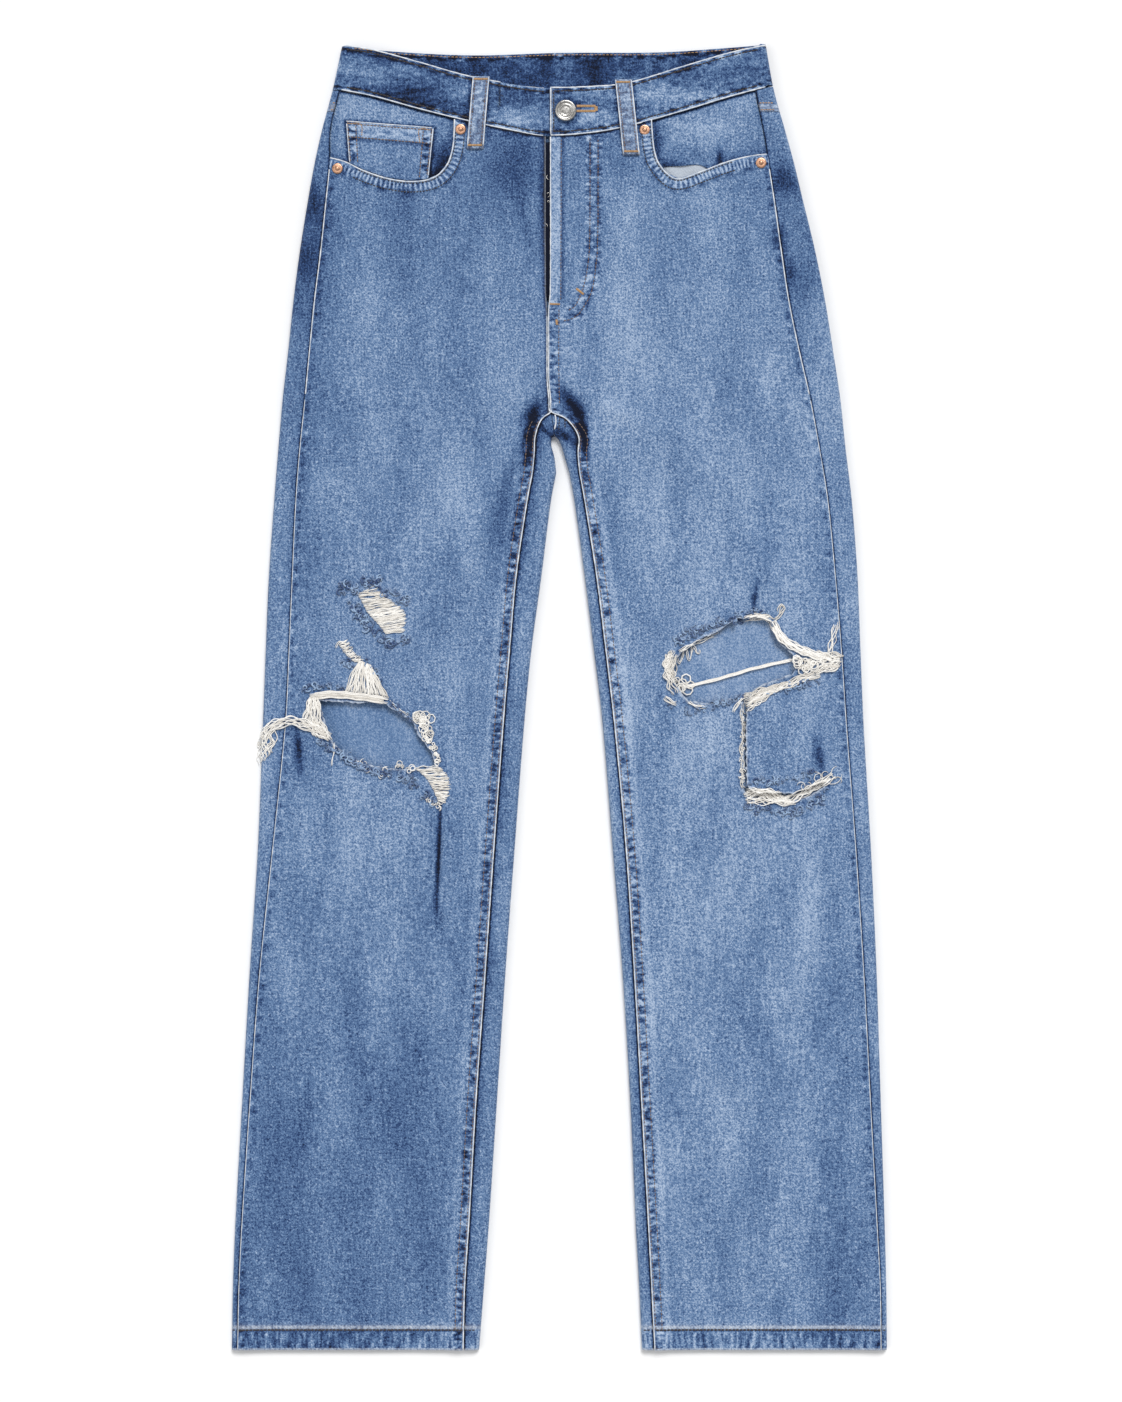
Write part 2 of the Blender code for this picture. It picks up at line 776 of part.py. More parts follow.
def band_column(half, kind, amount):
    """One column of the waistband, from its seam to its top edge."""
    column = []
    for share in BAND_SHARES:
        outer, side_up, radius = band_edges(half, share)
        fold = outer - half.sign * radius
        if kind == "arc":
            angle = math.pi / 2 - math.pi * amount
            x = fold + half.sign * radius * math.cos(angle)
            z = SEAT_LIFT + radius * (1 + math.sin(angle))
            column.append((x, side_up, z))
            continue
        table = FRONT_WAIST if kind == "front" else BACK_WAIST
        start = FLY[-1].left if half is LEFT else FLY[-1].right
        if kind == "back":
            start = 0.0
        x = start + (fold - start) * amount
        seam = read(table, "x", "seam", x) + BAND_GAP
        top = read(table, "x", "top", x)
        up = seam + (top - seam) * share
        z = SEAT_LIFT + 2 * radius if kind == "front" else SEAT_LIFT
        column.append((x, up, z))
    return column


def underlap_column(x):
    """The button end of the waistband dips below the buttonhole end."""
    column = []
    drop = UNDERLAP_DROP * ease((x - UNDERLAP_FROM) / (FLY[-1].right - UNDERLAP_FROM))
    for share in BAND_SHARES:
        radius = band_edges(RIGHT, share)[2]
        seam = read(FRONT_WAIST, "x", "seam", x) + BAND_GAP
        top = read(FRONT_WAIST, "x", "top", x) - UNDERLAP_INSET
        column.append((x, seam + (top - seam) * share, SEAT_LIFT + 2 * radius - drop))
    return column


def waistband(collection, material):
    """One strip: from the buttonhole end round the back to the button end below it."""
    columns = []
    for i in range(BAND_FRONT_STEPS):
        columns.append(band_column(LEFT, "front", i / BAND_FRONT_STEPS))
    for i in range(BAND_ARC_STEPS):
        columns.append(band_column(LEFT, "arc", i / BAND_ARC_STEPS))
    for i in range(BAND_BACK_STEPS):
        columns.append(band_column(LEFT, "back", 1 - i / BAND_BACK_STEPS))
    for i in range(BAND_BACK_STEPS):
        columns.append(band_column(RIGHT, "back", i / BAND_BACK_STEPS))
    for i in range(BAND_ARC_STEPS):
        columns.append(band_column(RIGHT, "arc", 1 - i / BAND_ARC_STEPS))
    for i in range(BAND_FRONT_STEPS - 2):
        column = band_column(RIGHT, "front", 1 - i / BAND_FRONT_STEPS)
        if column[0][0] < UNDERLAP_FROM:
            columns.append(column)
    reach = [UNDERLAP_FROM, -36.0, -24.0, FLY[-1].right, 6.0, UNDERLAP_END]
    columns += [underlap_column(x) for x in reach]
    return finish(loft("waistband", columns, BAND_WALL), collection, material)


def height_at(half, x, up):
    """Height of the front at a place away from the crotch."""
    outer = read(half.side, "up", "outer", up)
    inner = read(half.inner, "up", "inner", up)
    distance = abs(outer - x)
    if up < half.inner[-1].up:
        distance = min(distance, abs(x - inner))
    return cloth_height(x, up, distance)


FACING_DROP = DENIM + SEAM_GAP
FACING_STEPS = 3


def pocket_facing(half, collection, material):
    """Denim behind the pocket opening, sewn into the waist and the side."""
    columns = []
    side_up = read(FRONT_WAIST, "x", "seam", half.sign * SIDE_SEAM_X)
    corner = abs(side_points(half, side_up)[1].x)
    for row in half.facing:
        top_x = half.sign * min(abs(row.x), corner)
        high = read(FRONT_WAIST, "x", "seam", top_x) - BAND_GAP
        column = []
        for i in range(FACING_STEPS + 1):
            up = row.low + (high - row.low) * i / FACING_STEPS
            limit = side_points(half, up)[1].x - half.sign * SEAM_GAP
            x = half.sign * min(abs(row.x), abs(limit))
            column.append((x, up, height_at(half, x, up) - FACING_DROP))
        columns.append(column)
    return finish(loft("pocket_facing_" + half.name, columns, DENIM), collection, material)


# Coin pocket: the ends of its top edge and of its bottom edge, from the side to the middle.
# The bottom edge goes down into the pocket opening and follows the opening's edge.
COIN_TOP = ((-171.0, 983.0), (-100.0, 977.6))
COIN_LOW_X = (-168.4, -104.4)
COIN_ROOM = 0.8
COIN_STEPS = 8


def opening_up(x):
    """Height of the right pocket opening's edge at an x."""
    for near, far in zip(RIGHT_POCKET, RIGHT_POCKET[1:]):
        if far.x <= x <= near.x:
            return near.up + (far.up - near.up) * (x - near.x) / (far.x - near.x)
    raise ValueError("no pocket opening at x %.1f" % x)


def coin_pocket(collection, material):
    columns = []
    for i in range(COIN_STEPS + 1):
        share = i / COIN_STEPS
        top = Vector(COIN_TOP[0]).lerp(Vector(COIN_TOP[1]), share)
        low_x = COIN_LOW_X[0] + (COIN_LOW_X[1] - COIN_LOW_X[0]) * share
        low = Vector((low_x, opening_up(low_x) + COIN_ROOM))
        column = []
        for point in across(low, top, 2):
            z = height_at(RIGHT, point.x, point.y) - FACING_DROP + SEAM_GAP + DENIM
            column.append((point.x, point.y, z))
        columns.append(column)
    return finish(loft("coin_pocket", columns, DENIM), collection, material)


BAG_WALL = 1.0
BAG_X = (72.0, 84.0, 96.0, 108.0, 120.0)
BAG_LOW = 926.0
BAG_HIGH = 956.0


def pocket_bag(collection, material):
    """The edge of the white pocket bag that shows inside the left opening."""
    columns = []
    for x in BAG_X:
        column = []
        for up in (BAG_LOW, (BAG_LOW + BAG_HIGH) / 2, BAG_HIGH):
            z = height_at(LEFT, x, up) - FACING_DROP - DENIM - SEAM_GAP
            column.append((x, up, z))
        columns.append(column)
    return finish(loft("pocket_bag_left", columns, BAG_WALL), collection, material)


SHIELD_X = (-24.0, -12.0, 0.0, 14.0)
SHIELD_UPS = (842.0, 880.0, 925.0, 966.0)
SHIELD_WALL = 2.0


def fly_underlap(collection, material):
    """The button side of the fly, seen as a dark strip in the gap."""
    columns = []
    for x in SHIELD_X:
        column = []
        for up in SHIELD_UPS:
            column.append((x, up, height_at(RIGHT, -60.0, up) - FACING_DROP - SEAM_GAP / 3))
        columns.append(column)
    return finish(loft("fly_underlap", columns, SHIELD_WALL), collection, material)


def front_loop(row, collection, material):
    """A belt loop arches over the waistband and is tacked at both ends."""
    start = Vector((row.x0, row.up0))
    end = Vector((row.x1, row.up1))
    half = RIGHT if row.x0 < 0 else LEFT
    side = Vector((LOOP_WIDTH / 2, 0.0))
    rows = []
    for i in range(LOOP_STEPS + 1):
        share = i / LOOP_STEPS
        middle = start.lerp(end, share)
        band_seam = read(FRONT_WAIST, "x", "seam", middle.x)
        blend = ease((middle.y - band_seam + LOOP_BEND) / LOOP_BEND)
        on_panel = height_at(half, middle.x, middle.y) + LOOP_ROOM
        band_top = SEAT_LIFT + 2 * band_edges(half, 0.5)[2] + LOOP_ROOM
        arch = LOOP_ARCH * math.sin(math.pi * share) ** 0.7
        z = on_panel + (band_top - on_panel) * blend + arch + LOOP_WALL
        rows.append([(p.x, p.y, z) for p in (middle - side, middle, middle + side)])
    return finish(loft(row.name, rows, LOOP_WALL), collection, material)


def flat_plate(name, outline, low, high, collection, material):
    part = prism(name, outline, low, high, None)
    return finish(part, collection, material)


def back_loop(row, collection, material):
    """The back loops lie under the waistband, pressed flat by the garment."""
    reach = LOOP_WIDTH / 2
    outline = [
        (row.x0 - reach, row.up0),
        (row.x0 + reach, row.up0),
        (row.x1 + reach, row.up1),
        (row.x1 - reach, row.up1),
    ]
    return flat_plate(row.name, outline, 0.0, DENIM, collection, material)


def back_pocket(half, collection, material):
    outline = []
    lean = half.sign * POCKET_SLANT / 66.0
    for x, rise in POCKET_OUTLINE:
        at = half.sign * POCKET_X + x
        outline.append((at, POCKET_UP + rise + lean * x))
    name = "back_pocket_" + half.name
    return flat_plate(name, outline, 0.0, DENIM, collection, material)


def turned(name, profile, x, up, z, steps, collection, material):
    """A round piece turned from its profile, radius and height, from the top down."""
    mesh = bpy.data.meshes.new(name)
    mesh.from_pydata([(radius / 1000, 0.0, rise / 1000) for radius, rise in profile],
                     [(i, i + 1) for i in range(len(profile) - 1)], [])
    part = bpy.data.objects.new(name, mesh)
    part.location = place(x, up, z)
    screw = part.modifiers.new("turn", "SCREW")
    screw.steps = steps
    screw.render_steps = steps
    screw.use_merge_vertices = True
    screw.merge_threshold = 0.00001
    return finish(part, collection, material)


BUTTON_PROFILE = [
    (0.0, 3.0),
    (4.4, 2.9),
    (5.2, 3.4),
    (7.4, 3.2),
    (8.5, 2.2),
    (8.5, 1.4),
    (7.2, 0.6),
    (3.0, 0.5),
    (3.0, 0.0),
    (0.0, 0.0),
]
RIVET_PROFILE = [
    (0.0, 1.9),
    (1.3, 1.8),
    (2.0, 1.1),
    (3.4, 0.9),
    (4.2, 0.4),
    (4.2, 0.0),
    (0.0, 0.0),
]


def button(collection, material):
    top = SEAT_LIFT + 2 * band_edges(LEFT, 0.5)[2] + METAL_ROOM
    turned("button", BUTTON_PROFILE, *BUTTON_AT, top, BUTTON_SIDES, collection, material)


def rivet(row, collection, material):
    half = RIGHT if row.x < 0 else LEFT
    around = []
    for i in range(RIVET_SIDES):
        angle = math.tau * i / RIVET_SIDES
        x = row.x + RIVET_RADIUS * math.cos(angle)
        up = row.up + RIVET_RADIUS * math.sin(angle)
        around.append(height_at(half, x, up))
    top = max(around) + METAL_ROOM
    turned(row.name, RIVET_PROFILE, row.x, row.up, top, RIVET_SIDES, collection, material)


SHORT_STEPS = 3
LONG_STEPS = 7
LONG_REACH = 20.0
STRAND_LIFT = 1.6
EDGE_LIFT = 2.2
EDGE_TURN = 2.0
FAN = 0.45
ROOT_RISE = 0.5
ROOT_INSET = 0.12
TIP_TAPER = 0.4


def drape(half, x, up):
    """Where a yarn lies: over the cloth, and round the outer edge toward the floor."""
    outer = read(half.side, "up", "outer", up)
    radius = fold_radius(up)
    past = half.sign * (x - outer) + radius
    if past <= 0:
        return x, height_at(half, x, up) + STRAND_LIFT
    reach = radius + EDGE_LIFT
    angle = min(past / reach, EDGE_TURN)
    middle = outer - half.sign * radius
    return middle + half.sign * reach * math.sin(angle), radius + reach * math.cos(angle)


def strand_path(half, root, toward, along, lean, reach, chance):
    """Middle line of a yarn that lies out over the cloth, and never crosses its neighbour."""
    length = reach * chance.uniform(0.45, 1.0)
    steps = LONG_STEPS if reach > LONG_REACH else SHORT_STEPS
    path = []
    for i in range(1, steps + 1):
        run = length * i / steps
        at = root + toward * run + along * lean * run
        x, z = drape(half, at.x, at.y)
        path.append((x, at.y, z))
    return path


def fray(row, collection, material):
    """A backing strip along a torn edge, with yarns fused to it at their roots."""
    chance = random.Random(FRAY_SEED + row.strands + int(row.up0))
    half = RIGHT if row.x0 < 0 else LEFT
    start = Vector((row.x0, row.up0))
    end = Vector((row.x1, row.up1))
    along = (end - start).normalized()
    toward = Vector((-along.y, along.x)) * row.turn
    mesh = bpy.data.meshes.new(row.name)
    data = bmesh.new()
    rings = []
    for i in range(row.strands + 1):
        at = start.lerp(end, i / row.strands)
        base = height_at(half, at.x, at.y)
        ring = []
        for side, rise in ((-1, -1), (1, -1), (1, 1), (-1, 1)):
            corner = at + toward * side * STRIP_WIDTH / 2
            level = base + rise * STRIP_HEIGHT / 2
            ring.append(data.verts.new(place(corner.x, corner.y, level)))
        rings.append(ring)
    roots = []
    for a, b in zip(rings, rings[1:]):
        for i in range(4):
            j = (i + 1) % 4
            face = data.faces.new((a[i], a[j], b[j], b[i]))
            if i == 2:
                roots.append(face)
    data.faces.new(rings[0][::-1])
    data.faces.new(rings[-1])
    for number, face in enumerate(roots):
        middle = face.calc_center_median() * 1000
        root = Vector((middle.x, middle.y + LENGTH / 2))
        base = middle.z
        lean = FAN * (2 * number / (row.strands - 1) - 1)
        path = strand_path(half, root, toward, along, lean, row.reach, chance)
        bmesh.ops.inset_individual(data, faces=[face], thickness=ROOT_INSET / 1000)
        signs = []
        for vert in face.verts:
            offset = vert.co * 1000 - middle
            flat = Vector((offset.x, offset.y))
            signs.append((1 if flat.dot(along) > 0 else -1, 1 if flat.dot(toward) > 0 else -1))
        last = Vector((root.x, root.y, base))
        spots = [Vector((root.x, root.y, base + ROOT_RISE))] + [Vector(spot) for spot in path]
        for step, spot in enumerate(spots):
            after = spots[min(step + 1, len(spots) - 1)]
            heading = ((after - spot) + (spot - last)).normalized()
            width = STRAND_WIDTH * (1 - TIP_TAPER * step / len(spots))
            across_way = Vector((along.x, along.y, 0.0))
            down = heading.cross(across_way)
            if down.dot(Vector((toward.x, toward.y, -1.0))) < 0:
                down = -down
            made = bmesh.ops.extrude_discrete_faces(data, faces=[face])
            face = made["faces"][0]
            for vert, (first, second) in zip(face.verts, signs):
                corner = spot + across_way * first * width / 2 + down * second * width / 2
                vert.co = place(*corner)
            last = spot
    bmesh.ops.recalc_face_normals(data, faces=data.faces)
    bmesh.ops.triangulate(data, faces=data.faces)
    data.to_mesh(mesh)
    data.free()
    return finish(bpy.data.objects.new(row.name, mesh), collection, material)


def finish_of(name, colour, roughness, metallic=0.0):
    material = bpy.data.materials.new(name)
    material.use_nodes = True
    shader = material.node_tree.nodes["Principled BSDF"]
    shader.inputs["Base Color"].default_value = (*colour, 1.0)
    shader.inputs["Roughness"].default_value = roughness
    shader.inputs["Metallic"].default_value = metallic
    return material


def main():
    for old in list(bpy.data.objects):
        bpy.data.objects.remove(old)
    jeans = bpy.data.collections.new("ripped_jeans")
    cutters = bpy.data.collections.new("cutters")
    bpy.context.scene.collection.children.link(jeans)
    bpy.context.scene.collection.children.link(cutters)
    denim = finish_of("denim", (0.20, 0.30, 0.45), 0.85)
    inside = finish_of("denim_inside", (0.24, 0.34, 0.47), 0.9)
    cotton = finish_of("pocket_cotton", (0.62, 0.64, 0.66), 0.9)
    yarn = finish_of("frayed_yarn", (0.75, 0.72, 0.66), 0.9)
    nickel = finish_of("nickel", (0.62, 0.62, 0.60), 0.3, 1.0)
    copper = finish_of("copper", (0.64, 0.36, 0.22), 0.35, 1.0)
    for half in (RIGHT, LEFT):
        front_panel(half, jeans, cutters, denim)
        back_panel(half, jeans, denim)
        yoke(half, jeans, denim)
        pocket_facing(half, jeans, denim)
        back_pocket(half, jeans, denim)
    waistband(jeans, denim)
    coin_pocket(jeans, denim)
    pocket_bag(jeans, cotton)
    fly_underlap(jeans, inside)
    for row in FRONT_LOOPS:
        front_loop(row, jeans, denim)
    for row in BACK_LOOPS:
        back_loop(row, jeans, denim)
    button(jeans, nickel)
    for row in RIVETS:
        rivet(row, jeans, copper)
    for row in FRAYS:
        fray(row, jeans, yarn)


main()
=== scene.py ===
import math
import random

import bmesh
import bpy
import numpy as np
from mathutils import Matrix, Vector
from mathutils.bvhtree import BVHTree


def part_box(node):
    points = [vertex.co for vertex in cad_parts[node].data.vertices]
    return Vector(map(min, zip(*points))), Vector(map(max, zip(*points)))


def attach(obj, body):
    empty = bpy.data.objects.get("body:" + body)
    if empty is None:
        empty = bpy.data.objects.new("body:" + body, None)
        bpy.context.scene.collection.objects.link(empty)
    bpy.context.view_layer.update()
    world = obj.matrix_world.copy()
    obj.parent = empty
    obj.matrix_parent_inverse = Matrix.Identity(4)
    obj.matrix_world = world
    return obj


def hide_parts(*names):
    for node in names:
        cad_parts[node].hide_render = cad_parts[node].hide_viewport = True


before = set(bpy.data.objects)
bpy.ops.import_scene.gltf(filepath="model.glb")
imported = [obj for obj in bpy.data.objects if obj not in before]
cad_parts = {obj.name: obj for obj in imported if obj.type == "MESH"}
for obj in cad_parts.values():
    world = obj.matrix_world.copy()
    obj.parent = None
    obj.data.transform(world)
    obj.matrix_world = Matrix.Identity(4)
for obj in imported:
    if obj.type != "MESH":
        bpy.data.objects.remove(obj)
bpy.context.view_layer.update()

# The table top, studio light and camera. The jeans lie flat on a plain white surface and are
# seen from straight above, under broad soft light with a key from above the waist.
FRAME_HEIGHT = 1.1216
LENS = 85.0
SENSOR = 36.0
CLOTH_TOP = 0.006
AIM_X = 0.0012
AIM_Y = -0.0035

view = bpy.data.cameras.new("camera")
view.lens = LENS
view.sensor_width = SENSOR
view.clip_end = 20.0
camera = bpy.data.objects.new("camera", view)
camera.location = (AIM_X, AIM_Y, FRAME_HEIGHT * LENS / SENSOR + CLOTH_TOP)
bpy.context.scene.collection.objects.link(camera)
bpy.context.scene.camera = camera
bpy.context.scene.view_settings.view_transform = "Standard"

bpy.ops.mesh.primitive_plane_add(size=8.0, location=(0.0, 0.0, -0.0004))
table_top = bpy.context.object
table_top.name = "table_top"
paper = bpy.data.materials.new("white_surface")
paper.use_nodes = True
paper_shader = paper.node_tree.nodes["Principled BSDF"]
paper_shader.inputs["Base Color"].default_value = (0.93, 0.93, 0.93, 1.0)
paper_shader.inputs["Roughness"].default_value = 0.9
table_top.data.materials.append(paper)


def soft_sun(name, place, spread, strength):
    """Even light from far away, this many degrees wide, shining from a place to the middle."""
    lamp = bpy.data.lights.new(name, "SUN")
    lamp.angle = math.radians(spread)
    lamp.energy = strength
    light = bpy.data.objects.new(name, lamp)
    light.location = place
    light.rotation_euler = (-Vector(place)).to_track_quat("-Z", "Y").to_euler()
    bpy.context.scene.collection.objects.link(light)


soft_sun("key", (0.35, 1.3, 1.9), 24.0, 2.1)
soft_sun("fill", (-1.5, -0.2, 1.7), 40.0, 0.40)
world = bpy.data.worlds.new("studio")
world.use_nodes = True
world.node_tree.nodes["Background"].inputs["Color"].default_value = (1.0, 1.0, 1.0, 1.0)
world.node_tree.nodes["Background"].inputs["Strength"].default_value = 0.50
bpy.context.scene.world = world

# Back panels. Each is one piece of denim that lies on the table, wraps round the outer and
# inner edges of its leg and is sewn to the front on top, so it has no seam at the silhouette.
# Sizes are millimetres: x across from the centre line, up from the hem, z from the table.
MIDDLE_UP = 522.75
DENIM = 1.2
SEAT_LIFT = 1.6
HEM_DEPTH = 15.0
HEM_STEP = 0.8
FOLD_EASE = 16.0
NOTCH = (-4.0, 731.0)
CROTCH = (-6.5, 749.5)
LEG_TOP = 702.0
CELL = 4.0
# Half of the small gap at a seam of the back, and the height that only the upper side passes
HALF_SEAM = 0.15
UPPER_SIDE = 4.0

RIGHT_SIDE = dict(
    up=(0, 50, 100, 200, 300, 400, 500, 560, 620, 680,
        720, 760, 800, 840, 880, 920, 950, 976, 1008, 1045),
    outer=(-262.4, -261.5, -259.6, -254.0, -248.2, -241.6, -237.5, -235.2, -232.6, -228.4,
           -225.2, -221.6, -217.0, -212.8, -207.6, -201.2, -195.8, -190.0, -181.5, -173.5),
    outseam=(-258.0, -257.0, -254.6, -248.0, -240.5, -230.0, -219.8, -216.8, -214.2, -211.3,
             -208.2, -204.0, -200.2, -196.2, -191.2, -187.0, -184.0, -183.2, -175.6, -168.0),
)
LEFT_SIDE = dict(
    up=RIGHT_SIDE["up"],
    outer=(262.2, 261.7, 260.4, 257.2, 254.0, 249.4, 243.5, 241.0, 238.6, 234.0,
           229.2, 224.8, 218.8, 212.4, 204.4, 194.7, 187.5, 180.4, 171.5, 164.8),
    outseam=(257.8, 257.2, 254.6, 249.2, 244.0, 237.6, 230.0, 226.0, 221.0, 215.0,
             208.5, 201.0, 191.8, 183.6, 177.6, 172.0, 167.3, 163.0, 157.0, 155.0),
)
RIGHT_INNER = dict(
    up=(0, 50, 100, 200, 300, 400, 500, 560, 620, 680, 702),
    inseam=(-76.5, -75.3, -72.0, -66.2, -59.0, -52.0, -44.5, -39.4, -34.0, -25.2, -21.0),
    inner=(-64.4, -60.5, -56.6, -50.0, -43.4, -36.0, -28.3, -22.5, -14.4, -6.8, -2.6),
)
LEFT_INNER = dict(
    up=RIGHT_INNER["up"],
    inseam=(75.7, 73.2, 70.6, 65.0, 59.4, 52.8, 43.5, 36.5, 29.0, 19.5, 15.5),
    inner=(66.0, 63.8, 61.0, 56.6, 50.5, 42.6, 34.6, 27.5, 20.0, 11.8, 7.8),
)
# Rows that turn with the seam round the crotch: outer height, edge point and seam point
RIGHT_CROTCH = ((716, (-4.0, 714.0), (-19.6, 717.0)),
                (728, (-6.6, 724.0), (-18.8, 731.0)),
                (740, (-6.0, 729.6), (-14.2, 743.6)))
LEFT_CROTCH = ((716, (4.0, 715.0), (14.2, 717.0)),
               (728, (1.0, 724.5), (14.6, 731.0)),
               (740, (-1.8, 729.6), (5.6, 744.0)))
HEIGHTS = dict(
    up=(0, 60, 300, 560, 700, 780, 1045),
    fold=(3.1, 3.5, 3.9, 4.0, 4.1, 4.2, 4.4),
    crown=(5.2, 5.2, 5.6, 6.4, 8.0, 9.2, 9.6),
)
FRONT_WAIST = dict(
    x=(-181, -150, -112, -75, -40, -10, 25, 55, 100, 138, 172),
    seam=(1008, 1002, 991.6, 982.5, 975, 970.5, 972.6, 978, 990.5, 1002, 1011),
    top=(1044.5, 1040, 1030, 1019.5, 1013, 1010, 1010.6, 1013.6, 1027, 1038, 1045),
)
BACK_WAIST = dict(
    x=(-181, -140, -70, 0, 80, 130, 172),
    seam=(1008, 1003.5, 1000, 1001, 1002, 1006, 1011),
    top=(1044.5, 1039.6, 1036, 1038, 1038.4, 1041.6, 1045),
)
HALVES = {
    "right": dict(sign=-1, side=RIGHT_SIDE, inner=RIGHT_INNER, crotch=RIGHT_CROTCH),
    "left": dict(sign=1, side=LEFT_SIDE, inner=LEFT_INNER, crotch=LEFT_CROTCH),
}
YOKE_SIDE = 990.0
YOKE_CENTRE = 930.0


def read(table, key, column, at):
    """A column's value at places along the table, on a smooth curve through its rows."""
    keys = np.array(table[key], float)
    values = np.array(table[column], float)
    slopes = np.gradient(values, keys)
    slopes[1:-1] = (values[2:] - values[:-2]) / (keys[2:] - keys[:-2])
    at = np.clip(at, keys[0], keys[-1])
    low = np.clip(np.searchsorted(keys, at, side="right") - 1, 0, len(keys) - 2)
    span = keys[low + 1] - keys[low]
    t = (at - keys[low]) / span
    start = (2 * t**3 - 3 * t**2 + 1) * values[low] + (t**3 - 2 * t**2 + t) * span * slopes[low]
    end = (3 * t**2 - 2 * t**3) * values[low + 1] + (t**3 - t**2) * span * slopes[low + 1]
    return start + end


def ease(t):
    """A smooth step from nothing at zero to one at one."""
    t = np.clip(t, 0.0, 1.0)
    return t * t * (3 - 2 * t)


def floor_height(up):
    """Height of the underside: flat on the table, lifted under the seat by its pockets."""
    return SEAT_LIFT * ease((up - 735.0) / 30.0)


def fold_radius(up):
    """Radius of the garment's folded edges at a height."""
    return read(HEIGHTS, "up", "fold", up)


# Folds pressed into the cloth, drawn downward: from one end to the other, how wide each is
# on its right and on its left, how high it stands (or how deep, if negative), and how much
# painted shade darkens it (or painted highlight lightens it, if negative)
FOLDS = (
    ((-24, 738), (-44, 700), 9, 9, 2.0, 0.0),
    ((-30, 700), (-62, 560), 14, 14, -1.4, 0.25),
    ((-60, 690), (-95, 585), 16, 16, 1.8, 0.0),
    ((20, 738), (34, 700), 9, 9, 2.0, 0.0),
    ((34, 700), (48, 600), 12, 12, -1.2, 0.2),
    ((62, 760), (130, 690), 18, 18, 1.6, 0.0),
    ((-110, 820), (-60, 760), 20, 20, 1.4, 0.0),
    ((-92, 442), (-96, 352), 11, 2.0, 2.4, -0.1),
    ((-94.4, 441), (-98.0, 356), 1.0, 2.2, -1.4, 2.4),
    ((-97, 352), (-93, 330), 3, 5, -0.6, 0.5),
    ((157, 608), (155.2, 594), 1.8, 2.6, 2.0, 1.9),
    ((162, 650), (160, 596), 9, 9, 2.2, 0.0),
    ((207, 486), (210, 462), 2.6, 5, 1.8, 1.5),
    ((208, 420), (190, 284), 9, 9, 1.6, -0.35),
    ((118, 236), (152, 204), 10, 10, 1.4, 0.0),
    ((-214, 470), (-222, 380), 9, 9, 1.6, 0.0),
    ((-210.0, 497), (-207.0, 466), 2.6, 3.4, -1.4, 1.9),
    ((-12, 758), (-25, 743), 5.5, 7.0, -2.0, 1.2),
    ((-25, 745), (-28, 712), 7.0, 6.0, -2.6, 1.3),
    ((-20, 748), (-25, 716), 3.6, 4.6, -0.6, 1.7),
    ((-34, 936), (-21, 866), 5.0, 3.5, -1.0, 0.5),
    ((-15.5, 739.5), (-8.6, 732.6), 1.6, 1.6, -0.3, 1.8),
    ((0.0, 734.4), (9.0, 727.4), 2.8, 2.8, -0.3, 2.0),
    ((-1, 768), (12, 753), 6.0, 6.0, -1.8, 1.2),
    ((13, 755), (21, 714), 6.0, 7.0, -2.6, 1.3),
    ((6, 764), (18.4, 742), 3.2, 3.6, -0.6, 1.2),
    ((18.0, 748), (20.6, 718), 3.4, 3.4, -0.4, 1.5),
    ((-36, 716), (-56, 640), 7.0, 8.0, -1.2, 0.45),
    ((30, 760), (64, 742), 5.0, 7.0, 0.9, -0.2),
)


def along_fold(fold, x, up):
    """Strength of a fold at places: full on its line, fading to its sides and ends."""
    start = np.array(fold[0], float)
    way = np.array(fold[1], float) - start
    length = np.hypot(*way)
    way = way / length
    run = (x - start[0]) * way[0] + (up - start[1]) * way[1]
    off = (x - start[0]) * way[1] - (up - start[1]) * way[0]
    past = np.maximum(np.maximum(-run, run - length), 0.0)
    width = np.where(off < 0, fold[2], fold[3])
    taper = 0.35 + 0.65 * np.sin(np.pi * np.clip(run / length, 0.08, 0.92))
    return taper * np.exp(-(off**2) / width**2 - past**2 / 64.0)


def folds(x, up):
    """How much all the folds and a faint ripple raise the cloth at places."""
    rise = np.zeros_like(x)
    for fold in FOLDS:
        rise = rise + fold[4] * along_fold(fold, x, up)
    ripple = np.sin(x / 11.0 + 2.0 * np.sin(up / 47.0)) * np.sin(up / 39.0 + x / 60.0)
    return rise + 0.25 * ripple


def cloth_height(x, up, distance):
    """Height of the top surface at a distance from the nearest folded edge."""
    radius = fold_radius(up)
    low = floor_height(up)
    crown = read(HEIGHTS, "up", "crown", up)
    inset = radius - np.clip(distance, 0.0, radius)
    arc = low + radius + np.sqrt(np.maximum(radius**2 - inset**2, 0.0))
    edge = low + 2 * radius
    easing = np.exp(-np.maximum(distance - radius, 0.0) / FOLD_EASE)
    flat = crown + (edge - crown) * easing + folds(x, up) * ease((distance - radius) / 10)
    flat = flat + HEM_STEP * (1 - ease((up - HEM_DEPTH + 0.6) / 1.2))
    return np.where(distance < radius, arc, flat)


def side_points(half, up):
    """Outer edge and outseam at heights, as arrays of (x, up)."""
    up = np.asarray(up, float)
    outer = read(half["side"], "up", "outer", up)
    outseam = read(half["side"], "up", "outseam", up)
    nearest = fold_radius(up) + 1.0
    close = np.abs(outer - outseam) < nearest
    outseam = np.where(close, outer - half["sign"] * nearest, outseam)
    return np.stack([outer, up], -1), np.stack([outseam, up], -1)


